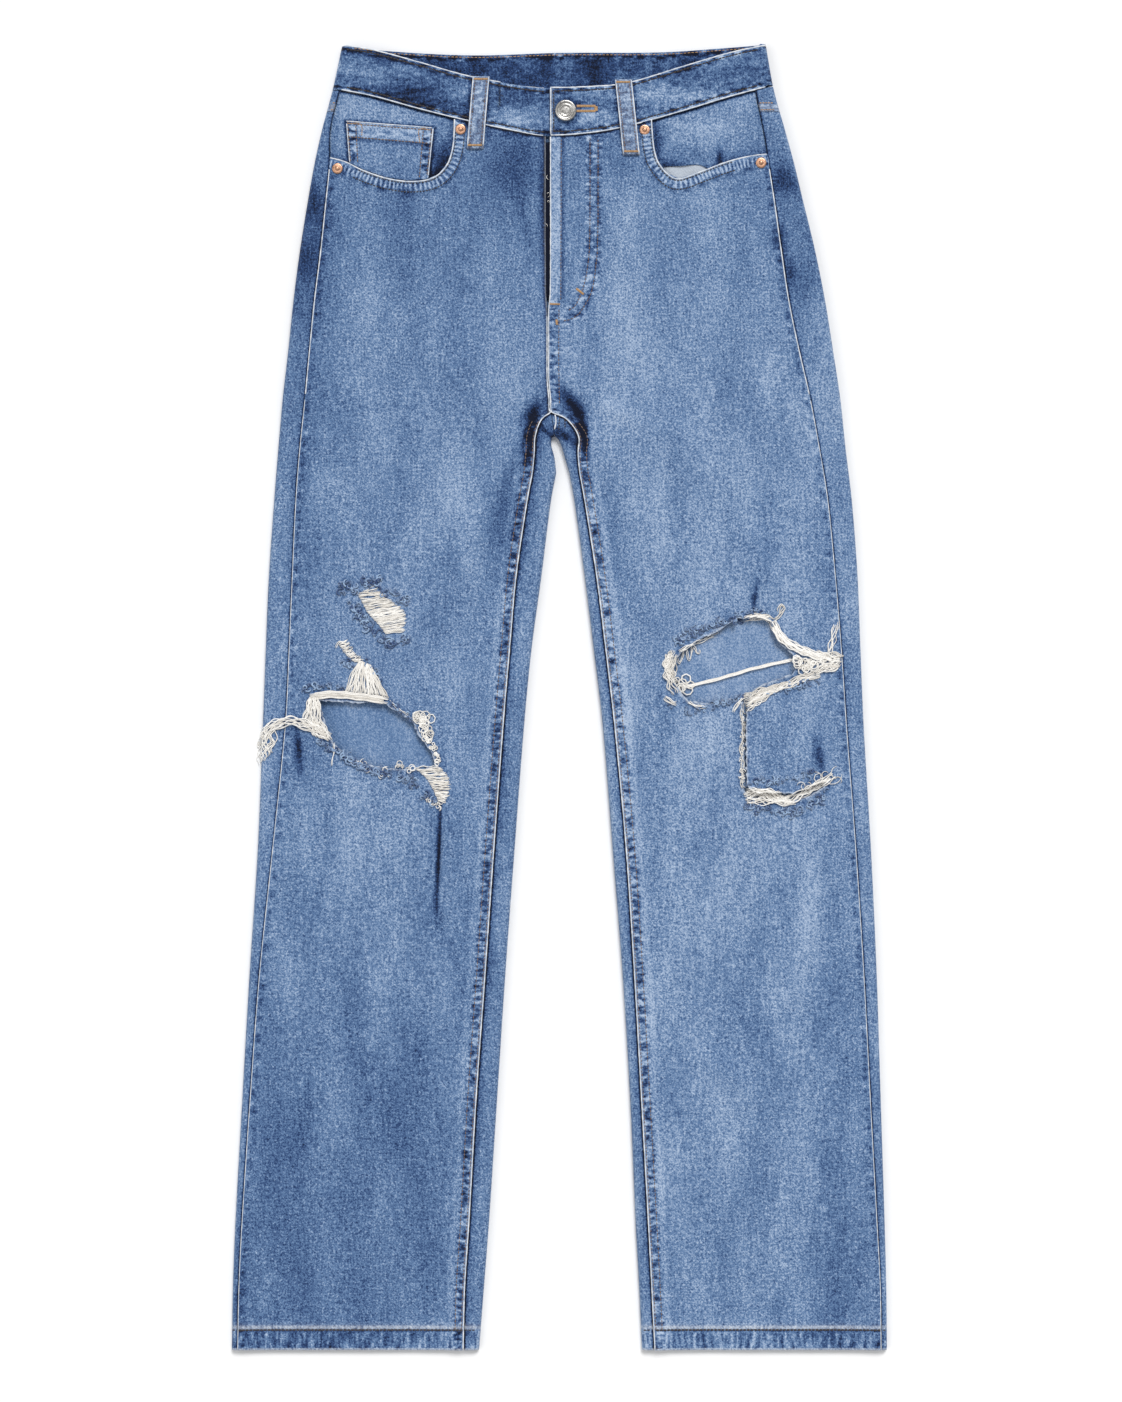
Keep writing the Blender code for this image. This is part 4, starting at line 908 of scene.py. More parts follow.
def inside_outline(points, outline):
    """Which points lie inside a closed outline."""
    x, y = points[:, 0], points[:, 1]
    inside = np.zeros(len(points), bool)
    corners = np.asarray(outline, float)
    for (x0, y0), (x1, y1) in zip(corners, np.roll(corners, -1, 0)):
        crosses = (y0 > y) != (y1 > y)
        with np.errstate(divide="ignore", invalid="ignore"):
            at = (x1 - x0) * (y - y0) / (y1 - y0) + x0
        inside ^= crosses & (x < at)
    return inside


def nearest_on(points, outline):
    """The nearest place on a closed outline to each point."""
    best = np.full(len(points), 1e9)
    found = points[:, :2].copy()
    corners = np.asarray(outline, float)
    for start, end in zip(corners, np.roll(corners, -1, 0)):
        way = end - start
        run = np.clip(((points[:, :2] - start) @ way) / max(float(way @ way), 1e-9), 0, 1)
        at = start + run[:, None] * way
        gap = np.linalg.norm(points[:, :2] - at, axis=1)
        closer = gap < best
        best[closer] = gap[closer]
        found[closer] = at[closer]
    return found, best


def ragged(outline, amount, seed):
    """An outline torn unevenly: more points, each moved a little."""
    chance = random.Random(seed)
    corners = np.asarray(outline, float)
    points = []
    for start, end in zip(corners, np.roll(corners, -1, 0)):
        count = max(int(np.hypot(*(end - start)) / 2.5), 1)
        for i in range(count):
            at = start + (end - start) * i / count
            shift = (chance.uniform(-amount, amount), chance.uniform(-amount, amount))
            points.append((at[0] + shift[0], at[1] + shift[1]))
    return points


def cut_away(points, faces, outline):
    """Cloth without what lies inside an outline, its new edge moved onto the outline."""
    inside = inside_outline(points, outline)
    kept = [face for face in faces if not inside[face].all()]
    edge = np.unique(np.concatenate(kept))
    edge = edge[inside[edge]]
    points[edge, :2] = nearest_on(points[edge], outline)[0]
    return points, kept


def refine(points, faces, lines, reach, cuts):
    """Finer cloth near some lines, where edges, folds and stitches need it."""
    data = bmesh.new()
    corners = [data.verts.new(point) for point in points]
    for face in faces:
        data.faces.new([corners[i] for i in face])
    gap = np.minimum.reduce([distance_to(points[:, :2], line) for line in lines])
    close = dict(zip(corners, gap < reach))
    edges = [edge for edge in data.edges if close[edge.verts[0]] and close[edge.verts[1]]]
    bmesh.ops.subdivide_edges(data, edges=edges, cuts=cuts, use_grid_fill=True)
    data.verts.index_update()
    points = np.array([vert.co for vert in data.verts], float)
    faces = [[vert.index for vert in face.verts] for face in data.faces]
    data.free()
    return points, faces


def beside(points, distance):
    """A line at a distance to the left of another one."""
    line = np.asarray(points, float)
    way = np.gradient(line, axis=0)
    way /= np.linalg.norm(way, axis=1)[:, None]
    return line + distance * np.stack([-way[:, 1], way[:, 0]], -1)


# Stitch lines of the fly: the curved double row, the rows of its edge, the rows below it
FLY_CURVES = (
    ((30.8, 968.0), (30.8, 910.0), (30.4, 885.0), (30.0, 875.2), (27.6, 856.0), (24.4, 843.2),
     (15.6, 828.8), (8.0, 824.0), (2.0, 822.8)),
    ((24.4, 969.0), (24.4, 910.0), (24.0, 885.0), (23.2, 872.0), (20.0, 853.0), (13.2, 836.0),
     (6.8, 831.2)),
)
FLY_EDGE_ROWS = (((1.4, 968.0), (1.2, 900.0), (1.0, 838.0)),
                 ((-0.4, 832.0), (-0.6, 790.0), (0.0, 756.0)))
FLY_OPEN_LOW = 838.0
POCKET_ROWS = (1.7, 8.6)
HEM_SEAM = 16.0
INSEAM_ROWS = (1.8, 7.0)
# Where each front panel is drawn finely: folds and puckers too small for the plain rows
FINE_LINES = {
    "right": [((-94.0, 442.0), (-97.0, 352.0)), ((-210.8, 494.0), (-207.6, 470.0)),
              ((-12.0, 758.0), (-24.0, 742.0), (-24.0, 716.0))],
    "left": [((157.0, 607.0), (155.6, 592.0)), ((208.0, 488.0), (208.0, 460.0)),
             ((7.0, 766.0), (16.0, 750.0), (18.0, 714.0))] + [list(line) for line in FLY_CURVES],
}


# The inseam's shade ends at the first height, and the fly's seam starts at the second
INSEAM_SHADE_TOP = 745.0
FLY_SEAM_LOW = 748.0
NO_FLY = 99.0
RIP_EDGES = {side: list(line) + [line[0]] for side, line in RIPS.items()}


def panel_gaps(side, rows, flat):
    """How far the points of a front panel are from each of its edges and seams."""
    inseam = np.concatenate([rows[::2, -1, :2], rows[-1:, -1, :2]])
    outseam = np.concatenate([rows[::2, 0, :2], rows[-1:, 0, :2]])
    fly = np.minimum.reduce([distance_to(flat, line) for line in FLY_CURVES])
    return {
        "pocket": distance_to(flat, POCKETS[side]),
        "rip": distance_to(flat, RIP_EDGES[side]),
        "in": distance_to(flat, inseam),
        "out": distance_to(flat, outseam),
        "waist": read(FRONT_WAIST, "x", "seam", flat[:, 0]) - flat[:, 1],
        "fly": fly if side == "left" else np.full(len(flat), NO_FLY),
    }


def raise_edges(points, gap, ridge, strip):
    """The turned pocket edge, the torn edge that curls and the fly's doubled strip."""
    points[:, 2] += 0.28 * ridge
    points[:, 2] += 0.7 * (1 - ease((gap["pocket"] - 8.4) / 1.2)) - 0.5 * near(gap["pocket"], 0.6)
    points[:, 2] += 0.7 * near(gap["rip"], 2.2)
    points[:, 2] += np.where(strip, 0.5 * (1 - ease((points[:, 0] - 1.2) / 1.2)), 0.0)
    points[:, 2] -= 0.25 * near(gap["fly"], 0.9)


def panel_fade_and_shade(side, flat, gap, ridge, strip, below_fly):
    """How much lighter or darker a front panel is beside its seams and edges, by wear and by painted
    shade.
    """
    above_hem = between_gaps(flat[:, 1], 1.0, 14.4)
    shaded = flat[:, 1] < INSEAM_SHADE_TOP
    fade_and_shade = 0.24 * near(gap["in"] - 11.4, 1.8) * shaded
    fade_and_shade -= 0.30 * near(gap["out"] - 3.0, 2.2) * ease(np.sin(flat[:, 1] / 2.3) * 0.5 + 0.5)
    fade_and_shade -= 0.16 * between_gaps(gap["in"], 2.2, 7.4) * shaded
    # painted shadow under the waistband's edge
    fade_and_shade -= 1.0 * near(gap["waist"], 1.1) + 0.16 * near(gap["waist"], 9.0)
    # the pocket's turned band is lighter on its puckers, with painted shade at the foot of its step
    fade_and_shade += 0.05 * (gap["pocket"] < 8.6) - 0.50 * near(gap["pocket"] - 9.6, 1.0) + 0.42 * ridge
    # painted shade round the torn hole
    fade_and_shade -= 0.16 * near(gap["rip"] - 3.0, 3.6)
    fade_and_shade += np.where(strip, 0.20 * (1 - ease((flat[:, 0] - 0.6) / 1.4)), 0.0)
    # painted shade at the foot of the fly strip's step
    fade_and_shade -= np.where(strip, 0.45 * near(flat[:, 0] - 2.8, 1.2), 0.0)
    # painted shade in the grooves of the fly's stitching
    fade_and_shade -= 0.30 * near(gap["fly"], 0.8)
    # right: painted shadow along the edge at the fly's gap; left: a darker band beside the seam
    if side == "right":
        fade_and_shade -= 0.9 * near(gap["in"], 1.8) * (flat[:, 1] > FLY_SEAM_LOW)
    else:
        fade_and_shade -= 0.16 * between_gaps(gap["in"], 1.6, 8.0) * below_fly
    # the hem band is darker, with painted shade in the groove above the hem
    fade_and_shade -= 0.10 * above_hem + 0.55 * near(flat[:, 1] - 15.6, 0.9)
    return fade_and_shade


def panel_puckers(side, flat, gap, below_fly):
    """How strongly a front panel is puckered by its seams."""
    rope = 1.0 * between_gaps(gap["in"], 1.4, 8.4) * (flat[:, 1] < FLY_SEAM_LOW)
    rope += (0.9 if side == "left" else 0.1) * between_gaps(gap["in"], 1.0, 8.0) * below_fly
    rope += 0.35 * between_gaps(gap["out"], 1.4, 6.0)
    rope += 0.35 * (gap["pocket"] < 8.6) + 0.7 * between_gaps(gap["fly"], -1.0, 3.6)
    rope += 0.5 * near(gap["waist"], 6.0) + 0.6 * near(gap["rip"], 4.0)
    return np.minimum(rope, 1.4)


def front_panel(side):
    """One front panel, cut at its pocket and torn at its knee, with its relief, wear and painted shade."""
    sign = HALVES[side]["sign"]
    rows, to_out, to_in = front_rows(HALVES[side])
    fly = rows[:, :, 1] > 752.0
    relief = seam_relief(to_in, rows[:, :, 1])
    relief = np.where(fly & (sign < 0), 0.2 * relief, relief)
    rows[:, :, 2] += relief + 0.25 * seam_relief(to_out, rows[:, :, 1])
    pocket = POCKETS[side]
    points, faces = rows.reshape(-1, 3), list(grid_faces(*rows.shape[:2]))
    points, faces = refine(points, faces, [pocket, RIP_EDGES[side]] + FINE_LINES[side], 10.0, 3)
    far = sign * 215.0
    corner = list(pocket) + [(far, 960.0), (far, 1030.0), (pocket[0][0], 1030.0)]
    points, faces = cut_away(points, faces, corner)
    points, faces = cut_away(points, faces, ragged(RIPS[side], 0.9, 3))
    flat = points[:, :2]
    gap = panel_gaps(side, rows, flat)
    run = run_along(flat, smooth_between(pocket, 6))
    ridge = np.sin(run * 1.9 + 1.3 * np.sin(run / 4.3)) * between_gaps(gap["pocket"], 2.2, 8.2)
    strip = (flat[:, 1] > FLY_OPEN_LOW) & (sign > 0)
    raise_edges(points, gap, ridge, strip)
    below_fly = (flat[:, 1] > FLY_SEAM_LOW) & (flat[:, 1] < FLY_OPEN_LOW)
    fade_and_shade = panel_fade_and_shade(side, flat, gap, ridge, strip, below_fly)
    rope = panel_puckers(side, flat, gap, below_fly)
    comb = 0.6 * between_gaps(flat[:, 1], 1.0, 14.4)
    worn = 0.60 * near(flat[:, 1] - 18.0, 1.5) + 0.5 * (flat[:, 1] < 0.9)
    worn += 0.6 * near(gap["rip"], 1.1) + 0.35 * near(gap["in"], 0.9)
    # cut_away left some points unused, and sew_mesh drops them
    order = np.unique(np.concatenate(faces))
    piece = sew_mesh("front_cloth_" + side, points, faces)
    dress(piece, fade_and_shade[order], worn[order], rope[order], (denim_face, denim_inside), comb[order])
    finish_cloth(piece, DENIM, "front_panel_" + side)
    return piece


front_cloth = {side: front_panel(side) for side in HALVES}

# Thread and stitches. The jeans are lock-stitched with thick polyester thread: each stitch is
# a short raised loop that dips into the cloth at both ends, which also puckers it.
DOWN = Vector((0.0, 0.0, -1.0))
SKY = 60.0


def thread(name, colour, rough=0.6, dark=None, shift=0.0):
    """Twisted thread or yarn, lighter and darker from strand to strand."""
    material, tree, shader, where = new_material(name)
    twist = noise(tree, where, 900.0, 2.0)
    fade_and_shade = painted(tree, "fade_and_shade")
    total = add_share(tree, fade_and_shade, twist, 0.9)
    total = math_node(tree, "ADD", total, shift)
    dark = dark or tuple(0.55 * value for value in colour)
    tree.links.new(mix_colours(tree, total, dark, colour), shader.inputs["Base Color"])
    add_bump(tree, shader, twist, 0.5)
    shader.inputs["Roughness"].default_value = rough
    shader.inputs["Sheen Weight"].default_value = 0.3
    return material


tan_thread = thread("tan_thread", (0.55, 0.33, 0.15))
brown_thread = thread("brown_thread", (0.20, 0.125, 0.085))
dark_thread = thread("dark_thread", (0.034, 0.024, 0.022))
worn_edge = thread("worn_edge", (0.80, 0.83, 0.87), 0.85, (0.36, 0.44, 0.56))


def surface_of(*pieces):
    """The finished surface of some pieces, to lay stitches and yarns on."""
    bpy.context.view_layer.update()
    graph = bpy.context.evaluated_depsgraph_get()
    return [BVHTree.FromObject(piece, graph) for piece in pieces]


def top_at(surface, x, up):
    """Height of the highest surface at a place, or the table's."""
    start = Vector((x, up - MIDDLE_UP, SKY)) / 1000
    hits = [tree.ray_cast(start, DOWN)[0] for tree in surface]
    return max([hit.z * 1000 for hit in hits if hit], default=0.0)


def tubes(paths, radii, sides=5):
    """Round strands along paths, as points and faces closed at both ends."""
    points = []
    faces = []
    turn = np.linspace(0.0, 2 * np.pi, sides, endpoint=False)
    first = 0
    for path, radius in zip(paths, radii):
        path = np.asarray(path, float)
        way = np.gradient(path, axis=0)
        way /= np.maximum(np.linalg.norm(way, axis=1), 1e-6)[:, None]
        side = np.cross(way, (0.0, 0.0, 1.0))
        size = np.linalg.norm(side, axis=1)
        side = np.where(size[:, None] < 1e-4, (1.0, 0.0, 0.0), side / np.maximum(size, 1e-4)[:, None])
        lift = np.cross(side, way)
        reach = np.asarray(radius, float)[:, None, None]
        ring = np.cos(turn)[None, :, None] * side[:, None] + np.sin(turn)[None, :, None] * lift[:, None]
        points.append((path[:, None] + reach * ring).reshape(-1, 3))
        for i in range(len(path) - 1):
            low = first + i * sides
            for j in range(sides):
                after = (j + 1) % sides
                faces.append((low + j, low + after, low + sides + after, low + sides + j))
        faces.append(tuple(first + j for j in range(sides))[::-1])
        last = first + (len(path) - 1) * sides
        faces.append(tuple(last + j for j in range(sides)))
        first += len(path) * sides
    return np.concatenate(points), faces


def smooth_line(points, spacing):
    """Places evenly spaced along a smooth curve through the given ones."""
    curve = smooth_between(points, 14)
    steps = np.linalg.norm(np.diff(curve, axis=0), axis=1)
    run = np.concatenate([[0.0], np.cumsum(steps)])
    at = np.arange(0.0, run[-1], spacing)
    return np.stack([np.interp(at, run, column) for column in curve.T], -1)


def strand_mesh(name, paths, radii, finish, seed, sides=5, uneven=False):
    """Strands as one piece, each a little lighter or darker than the next."""
    chance = random.Random(seed)
    points, faces = tubes(paths, radii, sides)
    mesh = bpy.data.meshes.new(name)
    mesh.from_pydata(metres(points).tolist(), [], faces)
    piece = in_scene(name, mesh)
    shades = [np.full(len(path) * sides, chance.uniform(0.25, 1.1)) for path in paths]
    if uneven:
        shades = [np.repeat(np.array([chance.uniform(0.3, 1.1) for _ in path]), sides)
                  for path in paths]
    paint(piece, "fade_and_shade", np.concatenate(shades))
    piece.data.materials.append(finish)
    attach(piece, "root")
    return piece


def roll(name, lines, surface, radius=0.45, lift=0.1):
    """The worn white ridge along a folded edge, where the dye has rubbed off."""
    chance = random.Random(len(name))
    paths = []
    radii = []
    for line in lines:
        spots = smooth_line(line, 2.2)
        paths.append([(x, up, top_at(surface, x, up) + lift) for x, up in spots])
        radii.append([radius * chance.uniform(0.65, 1.15) for _ in spots])
    return strand_mesh(name, paths, radii, worn_edge, len(lines), 6, uneven=True)


STITCH_STEPS = (0.0, 0.3, 0.7, 1.0)


def sew(name, lines, surface, finish, length=2.5, gap=0.6, radius=0.33, below=False):
    """Rows of stitches along lines on a surface."""
    paths = []
    radii = []
    for line in lines:
        spots = smooth_line(line, length + gap)
        for start, after in zip(spots[:-1], spots[1:]):
            end = start + (after - start) * length / (length + gap)
            path = []
            for share in STITCH_STEPS:
                x, up = start + (end - start) * share
                z = 0.15 if below else top_at(surface, x, up)
                path.append((x, up, z + (0.12 if 0 < share < 1 else -0.12)))
            paths.append(path)
            radii.append([0.4 * radius, radius, radius, 0.4 * radius])
    return strand_mesh(name, paths, radii, finish, len(lines) + 7)


TACK_STEP = 0.42


def tack(name, start, end, width, surface, finish):
    """A bar tack: thread wound closely over a short straight line."""
    start = np.array(start, float)
    end = np.array(end, float)
    way = end - start
    size = float(np.hypot(*way))
    side = np.array([-way[1], way[0]]) / size * width / 2
    paths = []
    for i in range(max(int(size / TACK_STEP), 2)):
        at = start + way * (i + 0.5) * TACK_STEP / size
        rows = [at - side, at - 0.5 * side, at + 0.5 * side, at + side]
        high = max(top_at(surface, *row) for row in rows)
        paths.append([(*row, high + rise) for row, rise in zip(rows, (-0.1, 0.3, 0.3, -0.1))])
    return strand_mesh(name, paths, [[0.12, 0.24, 0.24, 0.12]] * len(paths), finish, 5)


def seam_line(side, inset, column=-1):
    """A line that follows a front panel's inseam or outseam, this far in from it."""
    rows, to_out, to_in = front_rows(HALVES[side])
    reach = to_in if column == -1 else to_out
    share = np.array([np.interp(inset, row[::column], np.arange(len(row))) for row in reach])
    picked = []
    for row, at in zip(rows[:, ::column, :2], share):
        low = int(min(at, len(row) - 2))
        picked.append(row[low] + (row[low + 1] - row[low]) * (at - low))
    return np.array(picked)


def leg_part(line, low, high):
    """The points of a line between two heights."""
    return line[(line[:, 1] >= low) & (line[:, 1] <= high)]


# Panel seams. Each front panel is hemmed, and its inseam and outseam show a worn ridge; the
# inseam is also sewn twice. The ridge of the inseam goes on up the fly.
INSEAM_TOP = 744.0
ROLL_INSET = 0.35
HIP_FROM = 762.0
HIP_TO = 948.0
FLY_ROLL_TOP = {"right": 830.0, "left": 974.0}
for side, piece in front_cloth.items():
    top = surface_of(piece)
    half = HALVES[side]
    ends = (half["side"]["outseam"][0] - half["sign"] * 1.0, half["inner"]["inseam"][0])
    hem = [(x, HEM_SEAM) for x in np.linspace(ends[0], ends[1], 12)]
    sew("hem_stitches_" + side, [hem], top, dark_thread, 2.6, 0.3, 0.8)
    rows = [leg_part(seam_line(side, inset), HEM_SEAM, INSEAM_TOP) for inset in INSEAM_ROWS]
    sew("inseam_stitches_" + side, rows, top, brown_thread, 2.4, 0.5, 0.36)
    edge = seam_line(side, ROLL_INSET)
    outer = seam_line(side, ROLL_INSET, 1)
    roll("worn_inseam_" + side, [leg_part(edge, 0.5, FLY_ROLL_TOP[side])], top, 0.52, 0.3)
    roll("worn_outseam_" + side, [leg_part(outer, 0.5, HIP_FROM)], top, 0.32, 0.05)
    roll("worn_hip_seam_" + side, [leg_part(outer, HIP_FROM, HIP_TO)], top, 0.52, 0.2)

# Crotch seam. The felled seam of the seat goes on below the point where the four panels meet
# and shows between the legs, with its worn ridge and a dark row of stitches on each side.
crotch_surface = surface_of(*back_cloth.values())
roll("worn_crotch_seam", [[(-3.8, 750.0), (-2.9, 742.0), (-4.8, 733.8)]], crotch_surface, 0.7, 0.2)
sew("crotch_stitches", [[(0.2, 749.0), (-0.6, 735.0)], [(4.4, 748.4), (4.4, 736.0)]],
    crotch_surface, dark_thread, 1.8, 0.4, 0.5)

# Hem edges. The front's row of hem stitches goes on round the folded edges of each leg, and
# under it across the back.
EDGE_HEM = {
    "right": [((-262.0, HEM_SEAM), (-258.4, HEM_SEAM)), ((-76.0, HEM_SEAM), (-66.0, HEM_SEAM))],
    "left": [((258.4, HEM_SEAM), (261.6, HEM_SEAM)), ((67.0, HEM_SEAM), (75.2, HEM_SEAM))],
}
for side, lines in EDGE_HEM.items():
    top = surface_of(back_cloth[side])
    sew("hem_edge_stitches_" + side, [list(line) for line in lines], top, dark_thread, 2.6, 0.3, 0.55)
    half = HALVES[side]
    wide = np.linspace(half["side"]["outer"][0] * 0.985, half["inner"]["inner"][0] * 1.05, 10)
    under = [(x, HEM_SEAM) for x in wide]
    sew("hem_under_stitches_" + side, [under], [], dark_thread, below=True)

# Yoke ends. The yoke is sewn to the back panel below it, and the seam comes round the side
# onto the top, where two short tan rows show.
YOKE_ROWS = (1.5, 7.0)
for side, half in HALVES.items():
    lines = []
    for rise in YOKE_ROWS:
        outer, outseam = side_points(half, [YOKE_SIDE + rise])
        away = half["sign"]
        lines.append([outseam[0] + (away, 0.0), outer[0] - (away * 2.2, 0.0)])
    sew("yoke_side_stitches_" + side, lines, surface_of(yoke_cloth[side]), tan_thread, 1.9, 0.3,
        0.45)

# Pocket bag, facings and coin pocket. White cotton makes the bag, and denim lines what shows
# in the pocket's mouth. The small coin pocket is sewn on the right facing, with a deep hem.
FACING_DROP = 1.6


def front_height(half, x, up):
    """Height of the front cloth, also where it is cut away for a pocket."""
    outer = read(half["side"], "up", "outer", up)
    return cloth_height(x, up, np.abs(outer - x))


def cloth_plate(name, points, finishes, node, wall, fade_and_shade=0.0, worn=0.0, rope=0.0):
    """A small piece of cloth from a grid of points, dressed, given its wall and put in place of its solid.
    """
    piece = sew_mesh(name, points, grid_faces(*points.shape[:2]))
    dress(piece, fade_and_shade, worn, rope, finishes)
    finish_cloth(piece, wall, node)
    return piece


COTTON_DARK = (0.35, 0.40, 0.48)
COTTON_PALE = (0.58, 0.63, 0.69)


def undyed(name):
    """Plain cotton: the soft denim's relief and finish, with its own pale colours instead."""
    material = denim(name, 0.0, 0.25, True)
    tree = material.node_tree
    where = tree.nodes.new("ShaderNodeTexCoord").outputs["Object"]
    weave = math_node(tree, "ADD", noise(tree, where, 700.0, 3.0), 0.5)
    colour = mix_colours(tree, weave, COTTON_DARK, COTTON_PALE)
    tree.links.new(colour, tree.nodes["Principled BSDF"].inputs["Base Color"])
    return material


cotton = undyed("pocket_cotton")

BAG_X = np.linspace(72.0, 120.0, 24)
BAG_UP = np.linspace(926.0, 956.0, 16)
bag_x, bag_up = np.meshgrid(BAG_X, BAG_UP)
bag_z = front_height(HALVES["left"], bag_x, bag_up) - 2 * FACING_DROP
bag_z = bag_z + 0.5 * np.sin(bag_x / 3.4 + bag_up / 5.0)
bag = cloth_plate("pocket_bag_cloth", np.stack([bag_x, bag_up, bag_z], -1), (cotton, cotton),
                  "pocket_bag_left", 0.9)

COIN_TOP = ((-171.0, 983.0), (-100.0, 977.6))
COIN_LOW_X = (-168.4, -104.4)
COIN_ROOM = 0.5
COIN_HEM = 13.0
FACINGS = {
    "right": dict(x=(-186.0, -172.0, -157.0, -139.5, -122.0, -107.0, -97.0, -76.0),
                  low=(946.0, 940.0, 935.0, 929.5, 926.6, 927.6, 931.0, 938.0)),
    "left": dict(x=(66.0, 79.0, 95.5, 113.0, 124.0, 140.0, 152.0, 168.0),
                 low=(944.0, 946.0, 947.0, 947.5, 942.0, 944.0, 947.0, 949.0)),
}
# Soft shade on the facings: middle, reach, amount
FACING_SHADES = (
    ((-93, 950), (10, 16), -0.75),
    ((-100, 938), (16, 6), -0.6),
    ((-130, 1000), (40, 6), -0.12),
    ((-160, 996), (10, 10), 0.10),
    ((88, 946), (12, 6), -0.55),
    ((78, 968), (6, 14), -0.45),
    ((112, 955), (22, 8), -0.22),
    ((128, 952), (2.5, 9), -0.7),
    ((120, 978), (30, 6), 0.14),
    ((150, 1000), (8, 7), 0.12),
)


def facing_points(side):
    """Grid of a pocket facing, from the middle of the front to the outseam."""
    half = HALVES[side]
    sign = half["sign"]
    table = FACINGS[side]
    across = np.linspace(0.0, 1.0, 90)[:, None]
    up_share = 1 - (1 - np.linspace(0.0, 1.0, 56)[None, :]) ** 1.4
    inner = table["x"][-1] if sign < 0 else table["x"][0]
    side_up = read(FRONT_WAIST, "x", "seam", sign * BAND_SIDE) - BAND_GAP
    limit = np.full((1, up_share.size), sign * 170.0)
    for _ in range(4):
        xs = inner + (limit - inner) * across
        low = read(table, "x", "low", xs)
        high = np.minimum(read(FRONT_WAIST, "x", "seam", xs) - BAND_GAP, side_up)
        ups = low + (high - low) * up_share
        limit = side_points(half, ups[-1])[1][:, 0][None, :] - sign * LAP
    z = front_height(half, xs, ups) - FACING_DROP
    z = z + 0.35 * np.sin(xs / 9.0 + 1.3) * np.sin(ups / 8.0) - 0.3
    return np.stack([xs, ups, z], -1), high - ups


def coin_place(across, along):
    """A place on the coin pocket: across it from the side, and up it from the opening's edge."""
    opening = np.array(POCKETS["right"][::-1])
    low_x = COIN_LOW_X[0] + (COIN_LOW_X[1] - COIN_LOW_X[0]) * across
    low_up = np.interp(low_x, opening[:, 0], opening[:, 1]) + COIN_ROOM
    top_x = COIN_TOP[0][0] + (COIN_TOP[1][0] - COIN_TOP[0][0]) * across
    top_up = COIN_TOP[0][1] + (COIN_TOP[1][1] - COIN_TOP[0][1]) * across
    return np.stack([low_x + (top_x - low_x) * along, low_up + (top_up - low_up) * along], -1)


for side in FACINGS:
    points, from_waist = facing_points(side)
    spots = points.reshape(-1, 3)[:, :2]
    shade = -0.9 * near(from_waist.ravel(), 1.1) - 0.30 * near(distance_to(spots, POCKETS[side]), 5.0)
    for middle, reach, amount in FACING_SHADES:
        gap = ((spots[:, 0] - middle[0]) / reach[0]) ** 2 + ((spots[:, 1] - middle[1]) / reach[1]) ** 2
        shade = shade + amount * np.exp(-gap)
    if side == "right":
        outline = [coin_place(0.0, 0.0), COIN_TOP[0], COIN_TOP[1], coin_place(1.0, 0.0)]
        shade = shade + 0.07 - 0.8 * near(distance_to(spots, outline), 1.4)
    cloth = cloth_plate("pocket_facing_cloth_" + side, points, (denim_face, denim_inside),
                        "pocket_facing_" + side, DENIM, shade)

coin_across, coin_along = np.meshgrid(np.linspace(0.0, 1.0, 72), np.linspace(0.0, 1.0, 44),
                                      indexing="ij")
coin_flat = coin_place(coin_across, coin_along)
coin_z = front_height(HALVES["right"], coin_flat[:, :, 0], coin_flat[:, :, 1]) - 0.3
from_top = np.linalg.norm(coin_flat[:, -1:] - coin_flat, axis=2)
coin_z = coin_z + 0.6 * (1 - ease((from_top - COIN_HEM) / 1.5))
coin_side = np.minimum(coin_across, 1 - coin_across) * 70.0
coin_z = coin_z - 0.6 * np.exp(-coin_side / 1.2) + 0.18 * np.sin(coin_flat[:, :, 0] / 2.4)
# painted shade below the hem's step and at the pocket's sunk sides; the hem is lighter and the bands
# inside the sides darker
coin_fade_and_shade = 0.20 * (from_top < COIN_HEM) - 0.35 * near(from_top - COIN_HEM - 1.6, 1.5)
coin_fade_and_shade = coin_fade_and_shade - 0.4 * near(coin_side, 0.5) - 0.15 * between_gaps(coin_side, 1.0, 9.0)
coin_rope = 1.1 * between_gaps(coin_side, 0.5, 8.0) + 0.4 * (from_top < COIN_HEM)
coin = cloth_plate("coin_pocket_cloth", np.concatenate([coin_flat, coin_z[:, :, None]], 2),
                   (denim_face, denim_inside), "coin_pocket", DENIM,
                   coin_fade_and_shade.ravel(), 0.0, coin_rope.ravel())
coin_surface = surface_of(coin)
coin_lines = [
    [coin_place(0.01, 0.62), coin_place(0.99, 0.68)],
    [coin_place(0.01, 0.93), coin_place(0.99, 0.94)],
] + [[coin_place(share, 0.98), coin_place(share, 0.03)] for share in (0.024, 0.115, 0.88, 0.972)]
sew("coin_pocket_stitches", coin_lines, coin_surface, brown_thread, 2.3, 0.4, 0.46)
COIN_CORNERS = ([(-168.8, 980.6), (-158.6, 979.8), (-158.0, 969.0)],
                [(-103.0, 975.4), (-112.0, 976.0), (-111.6, 965.0)])
sew("coin_corner_stitches", COIN_CORNERS, coin_surface, tan_thread, 1.6, 0.2, 0.42)
coin_edges = [[coin_place(0.012, 0.02), coin_place(0.012, 0.97)],
              [coin_place(0.01, 0.985), coin_place(0.99, 0.985)],
              [coin_place(0.988, 0.97), coin_place(0.988, 0.02)]]
roll("coin_pocket_edge", coin_edges, coin_surface, 0.42)

